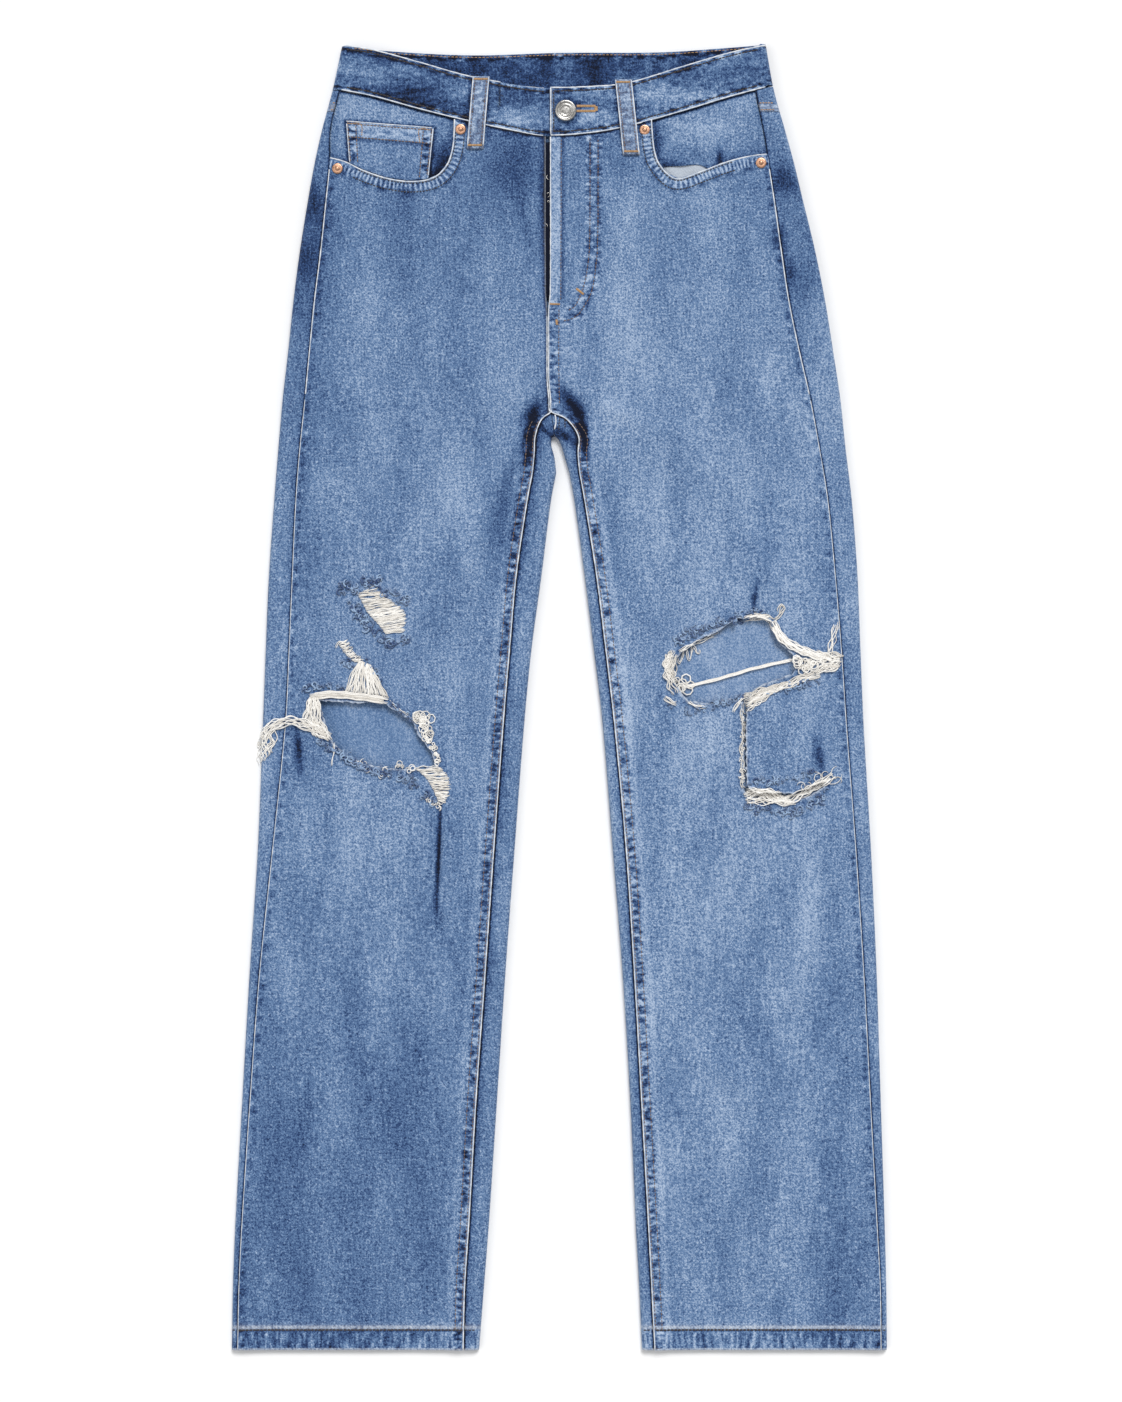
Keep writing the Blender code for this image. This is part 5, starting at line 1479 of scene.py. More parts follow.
# Fly. The button side of the fly lies behind the gap and shows as a dark strip of painted
# shadow, with a few pulled threads. The other side is held by a curved double row of stitches and bar
# tacks.
FLY_X = np.linspace(-24.0, 14.0, 24)
FLY_UP = np.linspace(842.0, 966.0, 60)
fly_x, fly_up = np.meshgrid(FLY_X, FLY_UP)
fly_z = front_height(HALVES["right"], np.full_like(fly_up, -60.0), fly_up) - FACING_DROP - 0.3
# the underlap is painted nearly black: the shadow in the fly's gap
shade_denim = denim("shaded_denim", -1.25, 0.4)
underlap = cloth_plate("fly_underlap_cloth", np.stack([fly_x, fly_up, fly_z], -1),
                       (shade_denim, shade_denim), "fly_underlap", 2.0)

left_surface = surface_of(front_cloth["left"], front_cloth["right"])
sew("fly_stitches", [list(line) for line in FLY_CURVES], left_surface, brown_thread, 2.3, 0.5, 0.38)
sew("fly_edge_stitches", [list(line) for line in FLY_EDGE_ROWS], left_surface, brown_thread,
    2.3, 0.5, 0.34)
tack("fly_bar_tack", (-8.0, 836.4), (0.8, 836.2), 1.5, left_surface, tan_thread)
tack("fly_side_tack", (13.4, 848.8), (19.6, 844.0), 2.0, left_surface, tan_thread)
tack("fly_low_tack", (-2.4, 824.0), (-2.0, 819.6), 2.0, left_surface, tan_thread)

# Pocket mouths. The curved edges of the front panels are turned under and sewn down with two
# rows of dark thread, and the fold itself is worn nearly white.
POCKET_EDGES = {side: smooth_between(line, 6)[:-2] for side, line in POCKETS.items()}
for side, line in POCKET_EDGES.items():
    way = -HALVES[side]["sign"]
    surface = surface_of(front_cloth[side])
    lines = [beside(line, way * inset)[3:-8] for inset in POCKET_ROWS]
    sew("pocket_stitches_" + side, lines, surface, dark_thread, 2.1, 0.4, 0.46)
    roll("pocket_edge_" + side, [beside(line, way * 0.45)], surface, 0.6, 0.2)

# Waistband. One long strip of doubled denim: it starts at the buttonhole, goes round the
# back and ends under the button. Its inside is painted dark as the shade inside the waist, with a sewn top
# edge.
BAND_WALL = 3.0
BAND_RISE = 0.9
BAND_SHARES = np.array([0, 0.012, 0.03, 0.055, 0.08, 0.11, 0.16, 0.24, 0.33, 0.42, 0.5,
                        0.58, 0.67, 0.76, 0.84, 0.89, 0.92, 0.945, 0.97, 0.988, 1.0])
BAND_TALL = 37.0


def band_edges(half):
    """Side of the waistband at each share of its height, and the radius of its fold."""
    sign = half["sign"]
    seam = read(FRONT_WAIST, "x", "seam", sign * BAND_SIDE) + BAND_GAP
    top = read(FRONT_WAIST, "x", "top", sign * 168.0)
    ups = seam + (top - seam) * BAND_SHARES
    outer = read(half["side"], "up", "outer", ups)
    radius = (read(HEIGHTS, "up", "crown", ups) + BAND_RISE - SEAT_LIFT) / 2
    return outer, ups, radius


def band_relief(run):
    """Rounded edges and puckered stitching, along the band and up it."""
    from_edge = np.minimum(BAND_SHARES, 1 - BAND_SHARES) * BAND_TALL
    round_edge = -0.8 * np.exp(-((from_edge / 0.8) ** 2))
    groove = -0.22 * np.exp(-(((from_edge - 3.0) / 0.8) ** 2))
    pucker = 0.22 * math.sin(run / 2.3) * np.exp(-(((from_edge - 4.0) / 3.5) ** 2))
    slack = 0.3 * math.sin(run / 23.0 + 1.0) * np.sin(np.pi * BAND_SHARES)
    return round_edge + groove + pucker + slack


def band_column(half, kind, amount):
    """A column of the waistband, this far along its front, its side's arc or its back."""
    outer, side_up, radius = band_edges(half)
    sign = half["sign"]
    fold = outer - sign * radius
    if kind == "arc":
        angle = math.pi / 2 - math.pi * amount
        reach = radius + (band_relief(300.0 * amount) if amount < 0.5 else 0.0)
        x = fold + sign * reach * math.cos(angle)
        return np.stack([x, side_up, SEAT_LIFT + radius + reach * math.sin(angle)], -1)
    table = FRONT_WAIST if kind == "front" else BACK_WAIST
    start = (FLY["left"][-1] if sign > 0 else FLY["right"][-1]) if kind == "front" else 0.0
    x = start + (fold - start) * amount
    seam = read(table, "x", "seam", x) + BAND_GAP
    ups = seam + (read(table, "x", "top", x) - seam) * BAND_SHARES
    z = SEAT_LIFT + np.zeros_like(x)
    if kind == "front":
        z = z + 2 * radius + band_relief(float(x[0]))
    return np.stack([x, ups, z], -1)


UNDERLAP_FROM = -48.0
UNDERLAP_END = 26.0
UNDERLAP_DROP = 3.6


def underlap_column(x):
    """The button end of the waistband dips below the buttonhole end."""
    drop = UNDERLAP_DROP * ease((x - UNDERLAP_FROM) / (FLY["right"][-1] - UNDERLAP_FROM))
    radius = band_edges(HALVES["right"])[2]
    seam = read(FRONT_WAIST, "x", "seam", x) + BAND_GAP
    ups = seam + (read(FRONT_WAIST, "x", "top", x) - 0.6 - seam) * BAND_SHARES
    z = SEAT_LIFT + 2 * radius - drop + band_relief(x)
    return np.stack([np.full_like(ups, x), ups, z], -1)


# Where the cloth is shaded beside the front belt loops and round the button
LOOP_SHADES = ([(-62.6, 1020.0), (-67.4, 958.0)], [(51.0, 1017.0), (57.4, 953.0)])
BUTTON_AT = (6.2, 990.8)
BAND_UPPER_SIDE = 9.0


def band_wear_and_shade(spots):
    """How pale, worn and puckered the waistband is at each of its points, with painted shade along its
    stitch rows, beside the belt loops, round the button and beside the buttonhole end.
    """
    on_top = spots[:, 2] > BAND_UPPER_SIDE
    share = np.tile(BAND_SHARES, len(spots) // len(BAND_SHARES))
    from_edge = np.minimum(share, 1 - share) * BAND_TALL
    rope = 0.9 * between_gaps(from_edge, 0.8, 5.5) + 0.25
    # painted shade in the groove of each stitch row; the edges are lighter
    fade_and_shade = -0.60 * near(from_edge - 3.2, 1.0) + 0.18 * near(from_edge, 1.0)
    fade_and_shade -= 0.34 * near(spots[:, 0] + 130.0, 70.0) * on_top
    fade_and_shade += 0.10 * near(spots[:, 0] - 110.0, 50.0) * on_top
    # painted shade beside the front belt loops and round the button
    loop_gap = np.minimum.reduce([distance_to(spots[:, :2], line) for line in LOOP_SHADES])
    fade_and_shade -= 0.5 * near(loop_gap - 6.8, 2.0) * on_top
    button_gap = np.hypot(spots[:, 0] - BUTTON_AT[0], spots[:, 1] - BUTTON_AT[1])
    fade_and_shade -= 0.4 * near(button_gap - 9.0, 2.5) * on_top
    # painted shadow on the lower end beside the buttonhole end's edge, which is lighter and worn
    upper_end = near(spots[:, 0] + 7.5, 1.5) * on_top
    under_end = near(spots[:, 0] + 11.5, 2.6) * on_top * (spots[:, 0] < -9.0)
    fade_and_shade = fade_and_shade - 1.2 * under_end + 0.3 * upper_end
    return fade_and_shade, 0.35 * upper_end, rope


FRONT_COLUMNS = 66
ARC_COLUMNS = 12
BACK_COLUMNS = 56
columns = [band_column(HALVES["left"], "front", i / FRONT_COLUMNS) for i in range(FRONT_COLUMNS)]
columns += [band_column(HALVES["left"], "arc", i / ARC_COLUMNS) for i in range(ARC_COLUMNS)]
columns += [band_column(HALVES["left"], "back", 1 - i / BACK_COLUMNS) for i in range(BACK_COLUMNS)]
columns += [band_column(HALVES["right"], "back", i / BACK_COLUMNS) for i in range(BACK_COLUMNS)]
columns += [band_column(HALVES["right"], "arc", 1 - i / ARC_COLUMNS) for i in range(ARC_COLUMNS)]
for i in range(FRONT_COLUMNS):
    column = band_column(HALVES["right"], "front", 1 - i / FRONT_COLUMNS)
    if column[0, 0] < UNDERLAP_FROM:
        columns.append(column)
columns += [underlap_column(x) for x in np.linspace(UNDERLAP_FROM, UNDERLAP_END, 34)]
band_points = np.stack(columns)
band_denim = denim("band_denim", -0.10, 1.0, clouds=2.1, drift=(0.8, 2.6, 1.0))
# painted shade: the band's inside, seen through the waist, is much darker
inside_band = denim("band_inside", -0.55, 0.9, clouds=1.8, drift=(3.0, 0.8, 1.0))
band = sew_mesh("waistband_cloth", band_points, grid_faces(*band_points.shape[:2]))
dress(band, *band_wear_and_shade(places(band)), (band_denim, inside_band))
finish_cloth(band, BAND_WALL, "waistband")

band_surface = surface_of(band)


def along_band(kind, share, low_x, high_x, count=40):
    """A line along the waistband, at a share of its height."""
    table = FRONT_WAIST if kind == "front" else BACK_WAIST
    xs = np.linspace(low_x, high_x, count)
    seam = read(table, "x", "seam", xs) + BAND_GAP
    ups = seam + (read(table, "x", "top", xs) - seam) * share
    return np.stack([xs, ups], -1)


band_lines = []
for share in (0.085, 0.915):
    band_lines.append(along_band("front", share, -4.5, 160.0))
    band_lines.append(along_band("front", share, -170.0, -9.5))
band_lines.append(np.array([(-4.6, 974.0), (-4.6, 1007.0)]))
sew("waistband_stitches", band_lines, band_surface, dark_thread, 2.4, 0.3, 0.6)
band_edges_worn = []
for share in (0.014, 0.986):
    band_edges_worn.append(along_band("front", share, -6.9, 165.0, 60))
    band_edges_worn.append(along_band("front", share, -174.0, -11.0, 60))
band_edges_worn.append(np.array([(-7.0, 971.6), (-7.0, 1010.0)]))
roll("waistband_edges", band_edges_worn, band_surface, 0.6, 0.2)
back_rows = [along_band("back", 0.955, -164.0, 156.0, 60)]
sew("waistband_inner_stitches", back_rows, band_surface, tan_thread)

# Buttonhole. A slit in the waistband's end, which the button's shank goes through. Both of its
# sides and its outer end are bound with close tan thread.
BUTTONHOLE_UP = 992.4
for rise, label in ((2.0, "upper"), (-2.0, "lower")):
    line_up = BUTTONHOLE_UP + rise
    tack("buttonhole_" + label, (13.6, line_up), (29.0, line_up), 2.2, band_surface, tan_thread)
ends = [(29.2, BUTTONHOLE_UP + rise) for rise in (-2.0, 2.0)]
tack("buttonhole_end", *ends, 3.0, band_surface, tan_thread)

# Belt loops. Narrow strips of folded denim arch over the band and are bar-tacked at both
# ends. The three at the back lie under the band, pressed flat by the garment.
LOOP_WIDTH = 13.5
LOOP_WALL = 2.0
FRONT_LOOPS = {
    "belt_loop_front_right": ((-62.6, 1018.0), (-67.4, 960.0)),
    "belt_loop_front_left": ((51.0, 1015.6), (57.4, 955.0)),
}
BACK_LOOPS = {
    "belt_loop_back_right": (-98.0, 1035.0, 980.0),
    "belt_loop_back_centre": (0.0, 1036.0, 981.0),
    "belt_loop_back_left": (98.0, 1037.0, 982.0),
}
for name, (start, end) in FRONT_LOOPS.items():
    half = HALVES["right" if start[0] < 0 else "left"]
    share = np.linspace(0.0, 1.0, 40)[:, None]
    across = np.linspace(-1.0, 1.0, 15)[None, :]
    middle_x = start[0] + (end[0] - start[0]) * share
    middle_up = start[1] + (end[1] - start[1]) * share
    seam = read(FRONT_WAIST, "x", "seam", middle_x)
    blend = ease((middle_up - seam + 9) / 8)
    on_panel = front_height(half, middle_x, middle_up) + 0.5
    on_band = SEAT_LIFT + 2 * band_edges(half)[2][10] + 0.4
    arch = 1.5 * np.sin(np.pi * share) ** 0.7
    z = on_panel + (on_band - on_panel) * blend + arch + LOOP_WALL - 0.2
    z = z - 0.9 * np.abs(across) ** 6 - 0.35 * np.exp(-((across / 0.12) ** 2))
    z = z + 0.15 * np.sin(middle_up / 1.6) * np.abs(across)
    ends = np.minimum(share, 1 - share) * 58.0
    z = z - 0.5 * np.exp(-ends / 0.8)
    points = np.stack([middle_x + across * LOOP_WIDTH / 2 + 0 * z, middle_up + 0 * z, z], -1)
    loop = sew_mesh(name + "_cloth", points, grid_faces(*points.shape[:2]))
    spots = places(loop)
    reach = np.abs(spots[:, 0] - np.interp(spots[:, 1], [end[1], start[1]], [end[0], start[0]]))
    # darker along the stitch rows, painted shade in their grooves, and worn pale at the edges
    dress(loop, -0.02 - 0.25 * near(reach - 4.6, 0.8), 0.5 * ease((reach - 5.5) / 1.0) + 0.16, 0.7,
          (denim_face, denim_inside))
    finish_cloth(loop, LOOP_WALL, name)
    loop_surface = surface_of(loop)
    rows = [[(start[0] + s, start[1] - 1), (end[0] + s, end[1] + 1)] for s in (-4.6, 4.6)]
    sew(name + "_stitches", rows, loop_surface, brown_thread, 2.2, 0.5, 0.36)
    sides = [[(start[0] + s, start[1] - 0.6), (end[0] + s, end[1] + 0.6)] for s in (-6.2, 6.2)]
    roll(name + "_edges", sides, loop_surface, 0.5)
    for place, label in ((start, "top"), (end, "low")):
        inward = 3.0 if label == "low" else -2.4
        left = (place[0] - 5.8, place[1] + inward)
        right = (place[0] + 5.8, place[1] + inward)
        tack(name + "_tack_" + label, left, right, 1.8, loop_surface, tan_thread)


def flat_piece(name, node, corners):
    """A flat piece pressed under the garment, from four corners: low edge then high edge."""
    share = np.linspace(0.0, 1.0, 24)[:, None, None]
    along = np.linspace(0.0, 1.0, 24)[None, :, None]
    low = np.array(corners[0]) + (np.array(corners[1]) - corners[0]) * share
    high = np.array(corners[2]) + (np.array(corners[3]) - corners[2]) * share
    plan = low + (high - low) * along
    edge = np.minimum(np.minimum(share, 1 - share), np.minimum(along, 1 - along))[:, :, 0]
    z = DENIM + 0.05 - 0.25 * np.exp(-edge * 60.0)
    points = np.concatenate([plan, z[:, :, None]], 2)
    piece = cloth_plate(name, points, (denim_face, denim_face), node, DENIM)
    return piece


for name, (x, high, low) in BACK_LOOPS.items():
    reach = LOOP_WIDTH / 2
    corners = ((x - reach, low), (x + reach, low), (x - reach, high), (x + reach, high))
    flat_piece(name + "_cloth", name, corners)
    rows = [[(x + s, low + 1), (x + s, high - 1)] for s in (-4.8, 4.8)]
    sew(name + "_stitches", rows, [], tan_thread, below=True)

# Back pockets. Five-sided patches sewn to the seat, flat under the garment; the photograph
# doesn't show them, so they have the usual shape, hem and double stitching.

# Half widths at the top and at the lower corners, depths there and at the point, the middle of
# the top edge, how much it leans outward, and the hem's row
BACK_POCKET_HALF = 66.0
BACK_POCKET_LOW_HALF = 62.0
BACK_POCKET_SIDE = 112.0
BACK_POCKET_DEEP = 138.0
BACK_POCKET_AT = (88.0, 925.0)
BACK_POCKET_LEAN = 6.0 / 66.0
BACK_POCKET_HEM = 16.0
BACK_POCKET_CORNERS = (
    (BACK_POCKET_HALF, 0.0),
    (BACK_POCKET_LOW_HALF, -BACK_POCKET_SIDE),
    (0.0, -BACK_POCKET_DEEP),
    (-BACK_POCKET_LOW_HALF, -BACK_POCKET_SIDE),
    (-BACK_POCKET_HALF, 0.0),
)
for side, half in HALVES.items():
    lean = half["sign"] * BACK_POCKET_LEAN
    middle = half["sign"] * BACK_POCKET_AT[0]
    top_up = BACK_POCKET_AT[1]
    share = np.linspace(-1.0, 1.0, 37)[:, None]
    along = np.linspace(0.0, 1.0, 32)[None, :]
    low = -BACK_POCKET_DEEP + (BACK_POCKET_DEEP - BACK_POCKET_SIDE) * np.abs(share)
    rise = low * (1 - along)
    narrower = BACK_POCKET_HALF - BACK_POCKET_LOW_HALF
    x = share * (BACK_POCKET_HALF + narrower * rise / BACK_POCKET_SIDE)
    z = DENIM + 0.05 + 0.0 * x
    plan = np.stack([middle + x, top_up + rise + lean * x, z], -1)
    pocket = cloth_plate("back_pocket_cloth_" + side, plan, (denim_face, denim_face),
                         "back_pocket_" + side, DENIM, -0.05)
    lines = []
    for inset in (2.0, 8.0):
        shrink = 1 - inset / BACK_POCKET_HALF
        placed = [(middle + x * shrink, top_up + (up + (inset if up < 0 else -inset)) + lean * x)
                  for x, up in BACK_POCKET_CORNERS]
        lines += [[first, second] for first, second in zip(placed[:-1], placed[1:])]
    reach = BACK_POCKET_LOW_HALF
    hem_up = top_up - BACK_POCKET_HEM
    lines.append([(middle - reach, hem_up - lean * reach), (middle + reach, hem_up + lean * reach)])
    sew("back_pocket_stitches_" + side, lines, [], tan_thread, below=True)

# Shank button and rivets. The button is pressed nickel-coloured brass with a plain domed face
# and a rolled rim; the rivets are copper, hammered through the pocket corners.
STEPS_ROUND = 64


def metal(name, colour, rough):
    """Pressed metal, a little worn and dull in places."""
    material, tree, shader, where = new_material(name)
    wear = noise(tree, where, 700.0, 4.0)
    dull = tuple(0.62 * value for value in colour)
    amount = math_node(tree, "ADD", math_node(tree, "MULTIPLY", wear, 2.0), 0.6)
    tree.links.new(mix_colours(tree, amount, dull, colour), shader.inputs["Base Color"])
    gloss = math_node(tree, "ADD", math_node(tree, "MULTIPLY", wear, 0.5), rough)
    tree.links.new(gloss, shader.inputs["Roughness"])
    add_bump(tree, shader, wear, 0.25)
    shader.inputs["Metallic"].default_value = 1.0
    return material


nickel = metal("nickel", (0.50, 0.49, 0.47), 0.30)
copper = metal("copper", (0.70, 0.40, 0.26), 0.36)


def turned(name, node, profile, finish, slot):
    """A round piece turned from radius and height, standing where its node is."""
    low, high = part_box(node)
    middle = (low + high) / 2
    curve = smooth_between(profile, 4)
    points = []
    for radius, rise in curve:
        for i in range(STEPS_ROUND):
            angle = math.tau * i / STEPS_ROUND
            points.append((1000 * middle.x + radius * math.cos(angle),
                           1000 * middle.y + MIDDLE_UP + radius * math.sin(angle),
                           1000 * low.z + rise))
    faces = []
    for i in range(len(curve) - 1):
        for j in range(STEPS_ROUND):
            after = (j + 1) % STEPS_ROUND
            a, b = i * STEPS_ROUND, (i + 1) * STEPS_ROUND
            faces.append((a + j, b + j, b + after, a + after))
    piece = sew_mesh(name, points, faces, joined=True)
    piece.data.materials.append(finish)
    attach(piece, "root")
    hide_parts(node)
    return piece


BUTTON_FACE = ((0.01, 2.6), (2.0, 2.55), (3.6, 2.5), (4.2, 2.95), (4.8, 3.0), (5.4, 2.6), (6.2, 2.7),
               (7.3, 3.2), (8.2, 2.9), (8.5, 2.2), (8.3, 1.5), (7.2, 0.7), (4.0, 0.5), (3.0, 0.3),
               (3.0, 0.0), (0.01, 0.0))
turned("shank_button", "button", BUTTON_FACE, nickel, "nickel")
RIVET_FACE = ((0.01, 1.8), (0.9, 1.75), (1.5, 1.4), (1.9, 0.95), (2.6, 0.9), (3.5, 0.85), (4.1, 0.55),
              (4.2, 0.2), (4.0, 0.0), (0.01, 0.0))
for name in ("rivet_right_waist", "rivet_right_side", "rivet_left_waist", "rivet_left_side"):
    turned(name + "_cap", name, RIVET_FACE, copper, "copper")

# Frayed yarns at the knees. Where the blue warp has torn away, the white weft is left: it lies
# in loose bundles across the holes, knots at their ends and hangs out in fringes, while the
# torn warp curls up in short blue ends along the edges.
white_yarn = thread("white_yarn", (0.96, 0.94, 0.90), 0.8, (0.58, 0.54, 0.48))
blue_yarn = thread("blue_yarn", (0.37, 0.52, 0.73), 0.8, (0.008, 0.04, 0.15), -0.26)
BLUE_COUNT = 0.62
BLUE_RADIUS = 0.72
YARN_STEP = 1.7
knee_surface = {side: surface_of(back_cloth[side], front_cloth[side]) for side in HALVES}


def strand(ground, line, radius, chance, wave=0.5, lift=0.5, hump=0.0):
    """One yarn near a line: it wavers sideways and lies on what is below it."""
    spots = smooth_line(line, YARN_STEP)
    phase = chance.uniform(0.0, 6.3)
    pitch = chance.uniform(5.0, 11.0)
    share = np.linspace(0.0, 1.0, len(spots))
    way = np.gradient(spots, axis=0)
    way /= np.maximum(np.linalg.norm(way, axis=1), 1e-6)[:, None]
    side = np.stack([-way[:, 1], way[:, 0]], -1)
    run = share * len(spots) * YARN_STEP
    sway = wave * np.sin(run / pitch * 6.3 / 2 + phase) * np.sin(np.pi * share) ** 0.5
    spots = spots + side * sway[:, None]
    rise = lift + hump * np.sin(np.pi * share)
    z = [top_at(ground, x, up) for x, up in spots]
    z = np.maximum(z, np.convolve(np.pad(z, 2, mode="edge"), np.ones(5) / 5, "valid"))
    path = np.column_stack([spots, z + rise])
    thick = radius * (0.55 + 0.45 * np.minimum(np.minimum(share, 1 - share) * 8, 1.0))
    return path, thick


def point_at(line, share):
    """The place at a share of a line's points."""
    keys = np.linspace(0, 1, len(line))
    return np.array([np.interp(share, keys, column) for column in line.T])


def bundle(ground, first, second, count, radius, seed, wave=0.5, lift=0.5, hump=0.0):
    """Yarns that run side by side between two lines, each from one to the other."""
    chance = random.Random(seed)
    sides = [smooth_between(line, 10) if len(line) > 2 else np.array(line, float)
             for line in (first, second)]
    paths = []
    radii = []
    for i in range(count):
        share = (i + chance.uniform(0.2, 0.8)) / count
        start, end = (point_at(line, share) for line in sides)
        gap = end - start
        size = float(np.hypot(*gap))
        side = np.array([-gap[1], gap[0]]) / max(size, 1e-6)
        bow = side * chance.uniform(-0.05, 0.05) * size
        extra = gap / max(size, 1e-6) * chance.uniform(-1.0, 1.5)
        line = [start - 0.3 * extra, start + 0.35 * gap + bow, start + 0.7 * gap + 0.7 * bow,
                end + extra]
        path, thick = strand(ground, line, radius * chance.uniform(0.7, 1.2), chance, wave,
                             lift + chance.uniform(0.0, 0.9), hump)
        paths.append(path)
        radii.append(thick)
    return paths, radii


def rope(ground, line, count, width, radius, seed, lift=0.8, hump=0.0, wave=0.5):
    """Yarns laid close together along one line."""
    chance = random.Random(seed)
    paths = []
    radii = []
    for i in range(count):
        offset = (i / max(count - 1, 1) - 0.5) * width
        moved = beside(smooth_line(line, 4.0), offset)
        if len(moved) > 6:
            moved = moved[chance.randrange(2):len(moved) - chance.randrange(2)]
        path, thick = strand(ground, moved, radius * chance.uniform(0.7, 1.25), chance, wave,
                             lift + chance.uniform(0.0, 0.8), hump)
        paths.append(path)
        radii.append(thick)
    return paths, radii


# How little and how much a curl bends at each of its steps, and how many steps it has
TORN_END = (0.3, 1.0, 6)
LOOP = (0.72, 0.98, 9)


def curls(ground, line, count, size, radius, seed, spread=2.0, lift=0.6, kind=TORN_END):
    """Short torn ends or knotted loops along an edge, each curled its own way."""
    chance = random.Random(seed)
    curve = smooth_between(line, 12)
    paths = []
    radii = []
    for i in range(count):
        at = point_at(curve, chance.random())
        at += (chance.uniform(-spread, spread), chance.uniform(-spread, spread))
        heading = chance.uniform(0.0, 6.3)
        least, most, steps = kind
        bend = chance.choice((-1, 1)) * chance.uniform(least, most)
        length = size * chance.uniform(0.5, 1.2)
        base = top_at(ground, *at)
        arch = chance.uniform(0.4, 1.0)
        path = []
        for step in range(steps + 1):
            path.append((*at, base + lift + arch * math.sin(math.pi * step / steps)))
            heading += bend
            at = at + length / steps * np.array([math.cos(heading), math.sin(heading)])
        paths.append(path)
        radii.append(radius * np.interp(range(steps + 1), (0, 1, steps - 2, steps), (0.7, 1, 1, 0.5)))
    return paths, radii


def torn_warp(ground, table, seed):
    """Short blue ends along the torn edges, from a table of their rows."""
    return [curls(ground, line, int(count * BLUE_COUNT), size, BLUE_RADIUS, seed + i, spread, 0.7)
            for i, (line, count, size, spread) in enumerate(table)]


def gather(name, parts, finish, seed, *nodes):
    """Several groups of yarns as one piece."""
    paths = [path for group in parts for path in group[0]]
    radii = [thick for group in parts for thick in group[1]]
    piece = strand_mesh(name, paths, radii, finish, seed)
    if nodes:
        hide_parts(*nodes)
    return piece


# The wearer's right knee: a patch of bared weft, a thin torn trail below it, the rope along
# the hole's top, the flap at its left and the long fringe that hangs over the side.
ground = knee_surface["right"]
patch = bundle(ground, [(-162.0, 606.0), (-154.0, 591.0), (-146.0, 582.0), (-139.0, 573.0)],
               [(-143.0, 606.5), (-128.0, 595.0), (-122.6, 586.0), (-125.0, 574.0)],
               72, 0.42, 11, 0.3, 0.3)
patch_top = bundle(ground, [(-158.0, 607.0), (-150.0, 604.0)], [(-147.0, 612.5), (-134.0, 598.0)],
                   9, 0.3, 12)
trail = bundle(ground, [(-177.6, 566.4), (-171.0, 556.6), (-163.6, 550.4)],
               [(-169.6, 568.4), (-164.4, 559.6), (-156.0, 551.2)], 30, 0.46, 13, 0.9)
trail_line = rope(ground, [(-175.0, 567.0), (-178.8, 563.0), (-180.2, 557.6)], 2, 0.8, 0.34, 14)
corner = bundle(ground, [(-160.0, 551.6), (-151.0, 548.0)], [(-172.0, 526.5), (-136.5, 522.0)],
                58, 0.48, 15, 0.5, 0.5, 0.7)
top_rope = rope(ground, [(-199.5, 522.5), (-183.6, 524.5), (-167.6, 523.6), (-150.0, 521.4),
                         (-135.0, 518.6)], 11, 5.2, 0.50, 16, 1.0, 0.4, 0.3)
flap = bundle(ground, [(-199.8, 522.0), (-193.4, 522.6)], [(-206.0, 503.0), (-188.4, 499.0)],
              26, 0.50, 17, 1.0, 0.8, 1.2)
flap_low = bundle(ground, [(-205.0, 505.0), (-189.0, 503.0)], [(-197.0, 491.0), (-181.0, 487.0)],
                  22, 0.50, 18, 0.7, 0.8, 0.6)
fringe_lines = rope(ground, [(-184.0, 490.0), (-197.2, 497.4), (-212.0, 503.0), (-228.0, 500.0),
                             (-236.0, 492.0), (-239.0, 482.0)], 12, 7.0, 0.46, 19, 1.2, 1.0, 1.0)
tips = bundle(ground, [(-226.0, 502.0), (-239.5, 488.0)], [(-229.0, 478.0), (-241.5, 467.0)],
              14, 0.38, 20, 2.2, 0.8)
side_loops = curls(ground, [(-229.0, 500.0), (-236.0, 492.0), (-239.0, 484.0)], 10, 13.0, 0.34, 27,
                   1.4, 1.0, LOOP)
loose = rope(ground, [(-180.0, 486.0), (-181.0, 476.0), (-182.4, 465.0)], 2, 0.6, 0.34, 21)
edge_knots = curls(ground, [(-112.6, 508.0), (-108.4, 500.0), (-105.6, 492.0)], 26, 15.0, 0.42, 22,
                   2.0, 0.8, LOOP)
knot_loops = curls(ground, [(-110.6, 507.0), (-106.0, 500.0), (-103.6, 491.0)], 8, 28.0, 0.46, 36,
                   1.5, 0.9, LOOP)
edge_chain = curls(ground, [(-106.0, 490.0), (-103.0, 484.0), (-98.6, 477.0), (-96.4, 469.0)],
                   28, 10.0, 0.42, 28, 1.5, 0.8, LOOP)
edge_line = rope(ground, [(-136.0, 519.4), (-125.0, 510.4), (-114.0, 504.6)], 2, 1.2, 0.30, 23)
low_patch = bundle(ground, [(-116.0, 466.0), (-107.0, 458.0), (-101.0, 448.0), (-97.0, 439.0)],
                   [(-95.0, 467.0), (-88.4, 458.0), (-88.0, 448.0), (-91.0, 438.0)],
                   52, 0.46, 24, 0.6, 0.4)
low_loops = curls(ground, [(-131.0, 469.0), (-124.0, 465.6), (-118.0, 463.6)], 8, 17.0, 0.38, 25,
                  1.2, 0.9, LOOP)
low_whites = curls(ground, [(-166.0, 472.0), (-150.0, 464.0), (-134.0, 460.0)], 14, 8.0, 0.34, 29, 2.0)
low_ends = curls(ground, [(-103.0, 442.0), (-96.0, 436.0)], 12, 8.0, 0.34, 26)
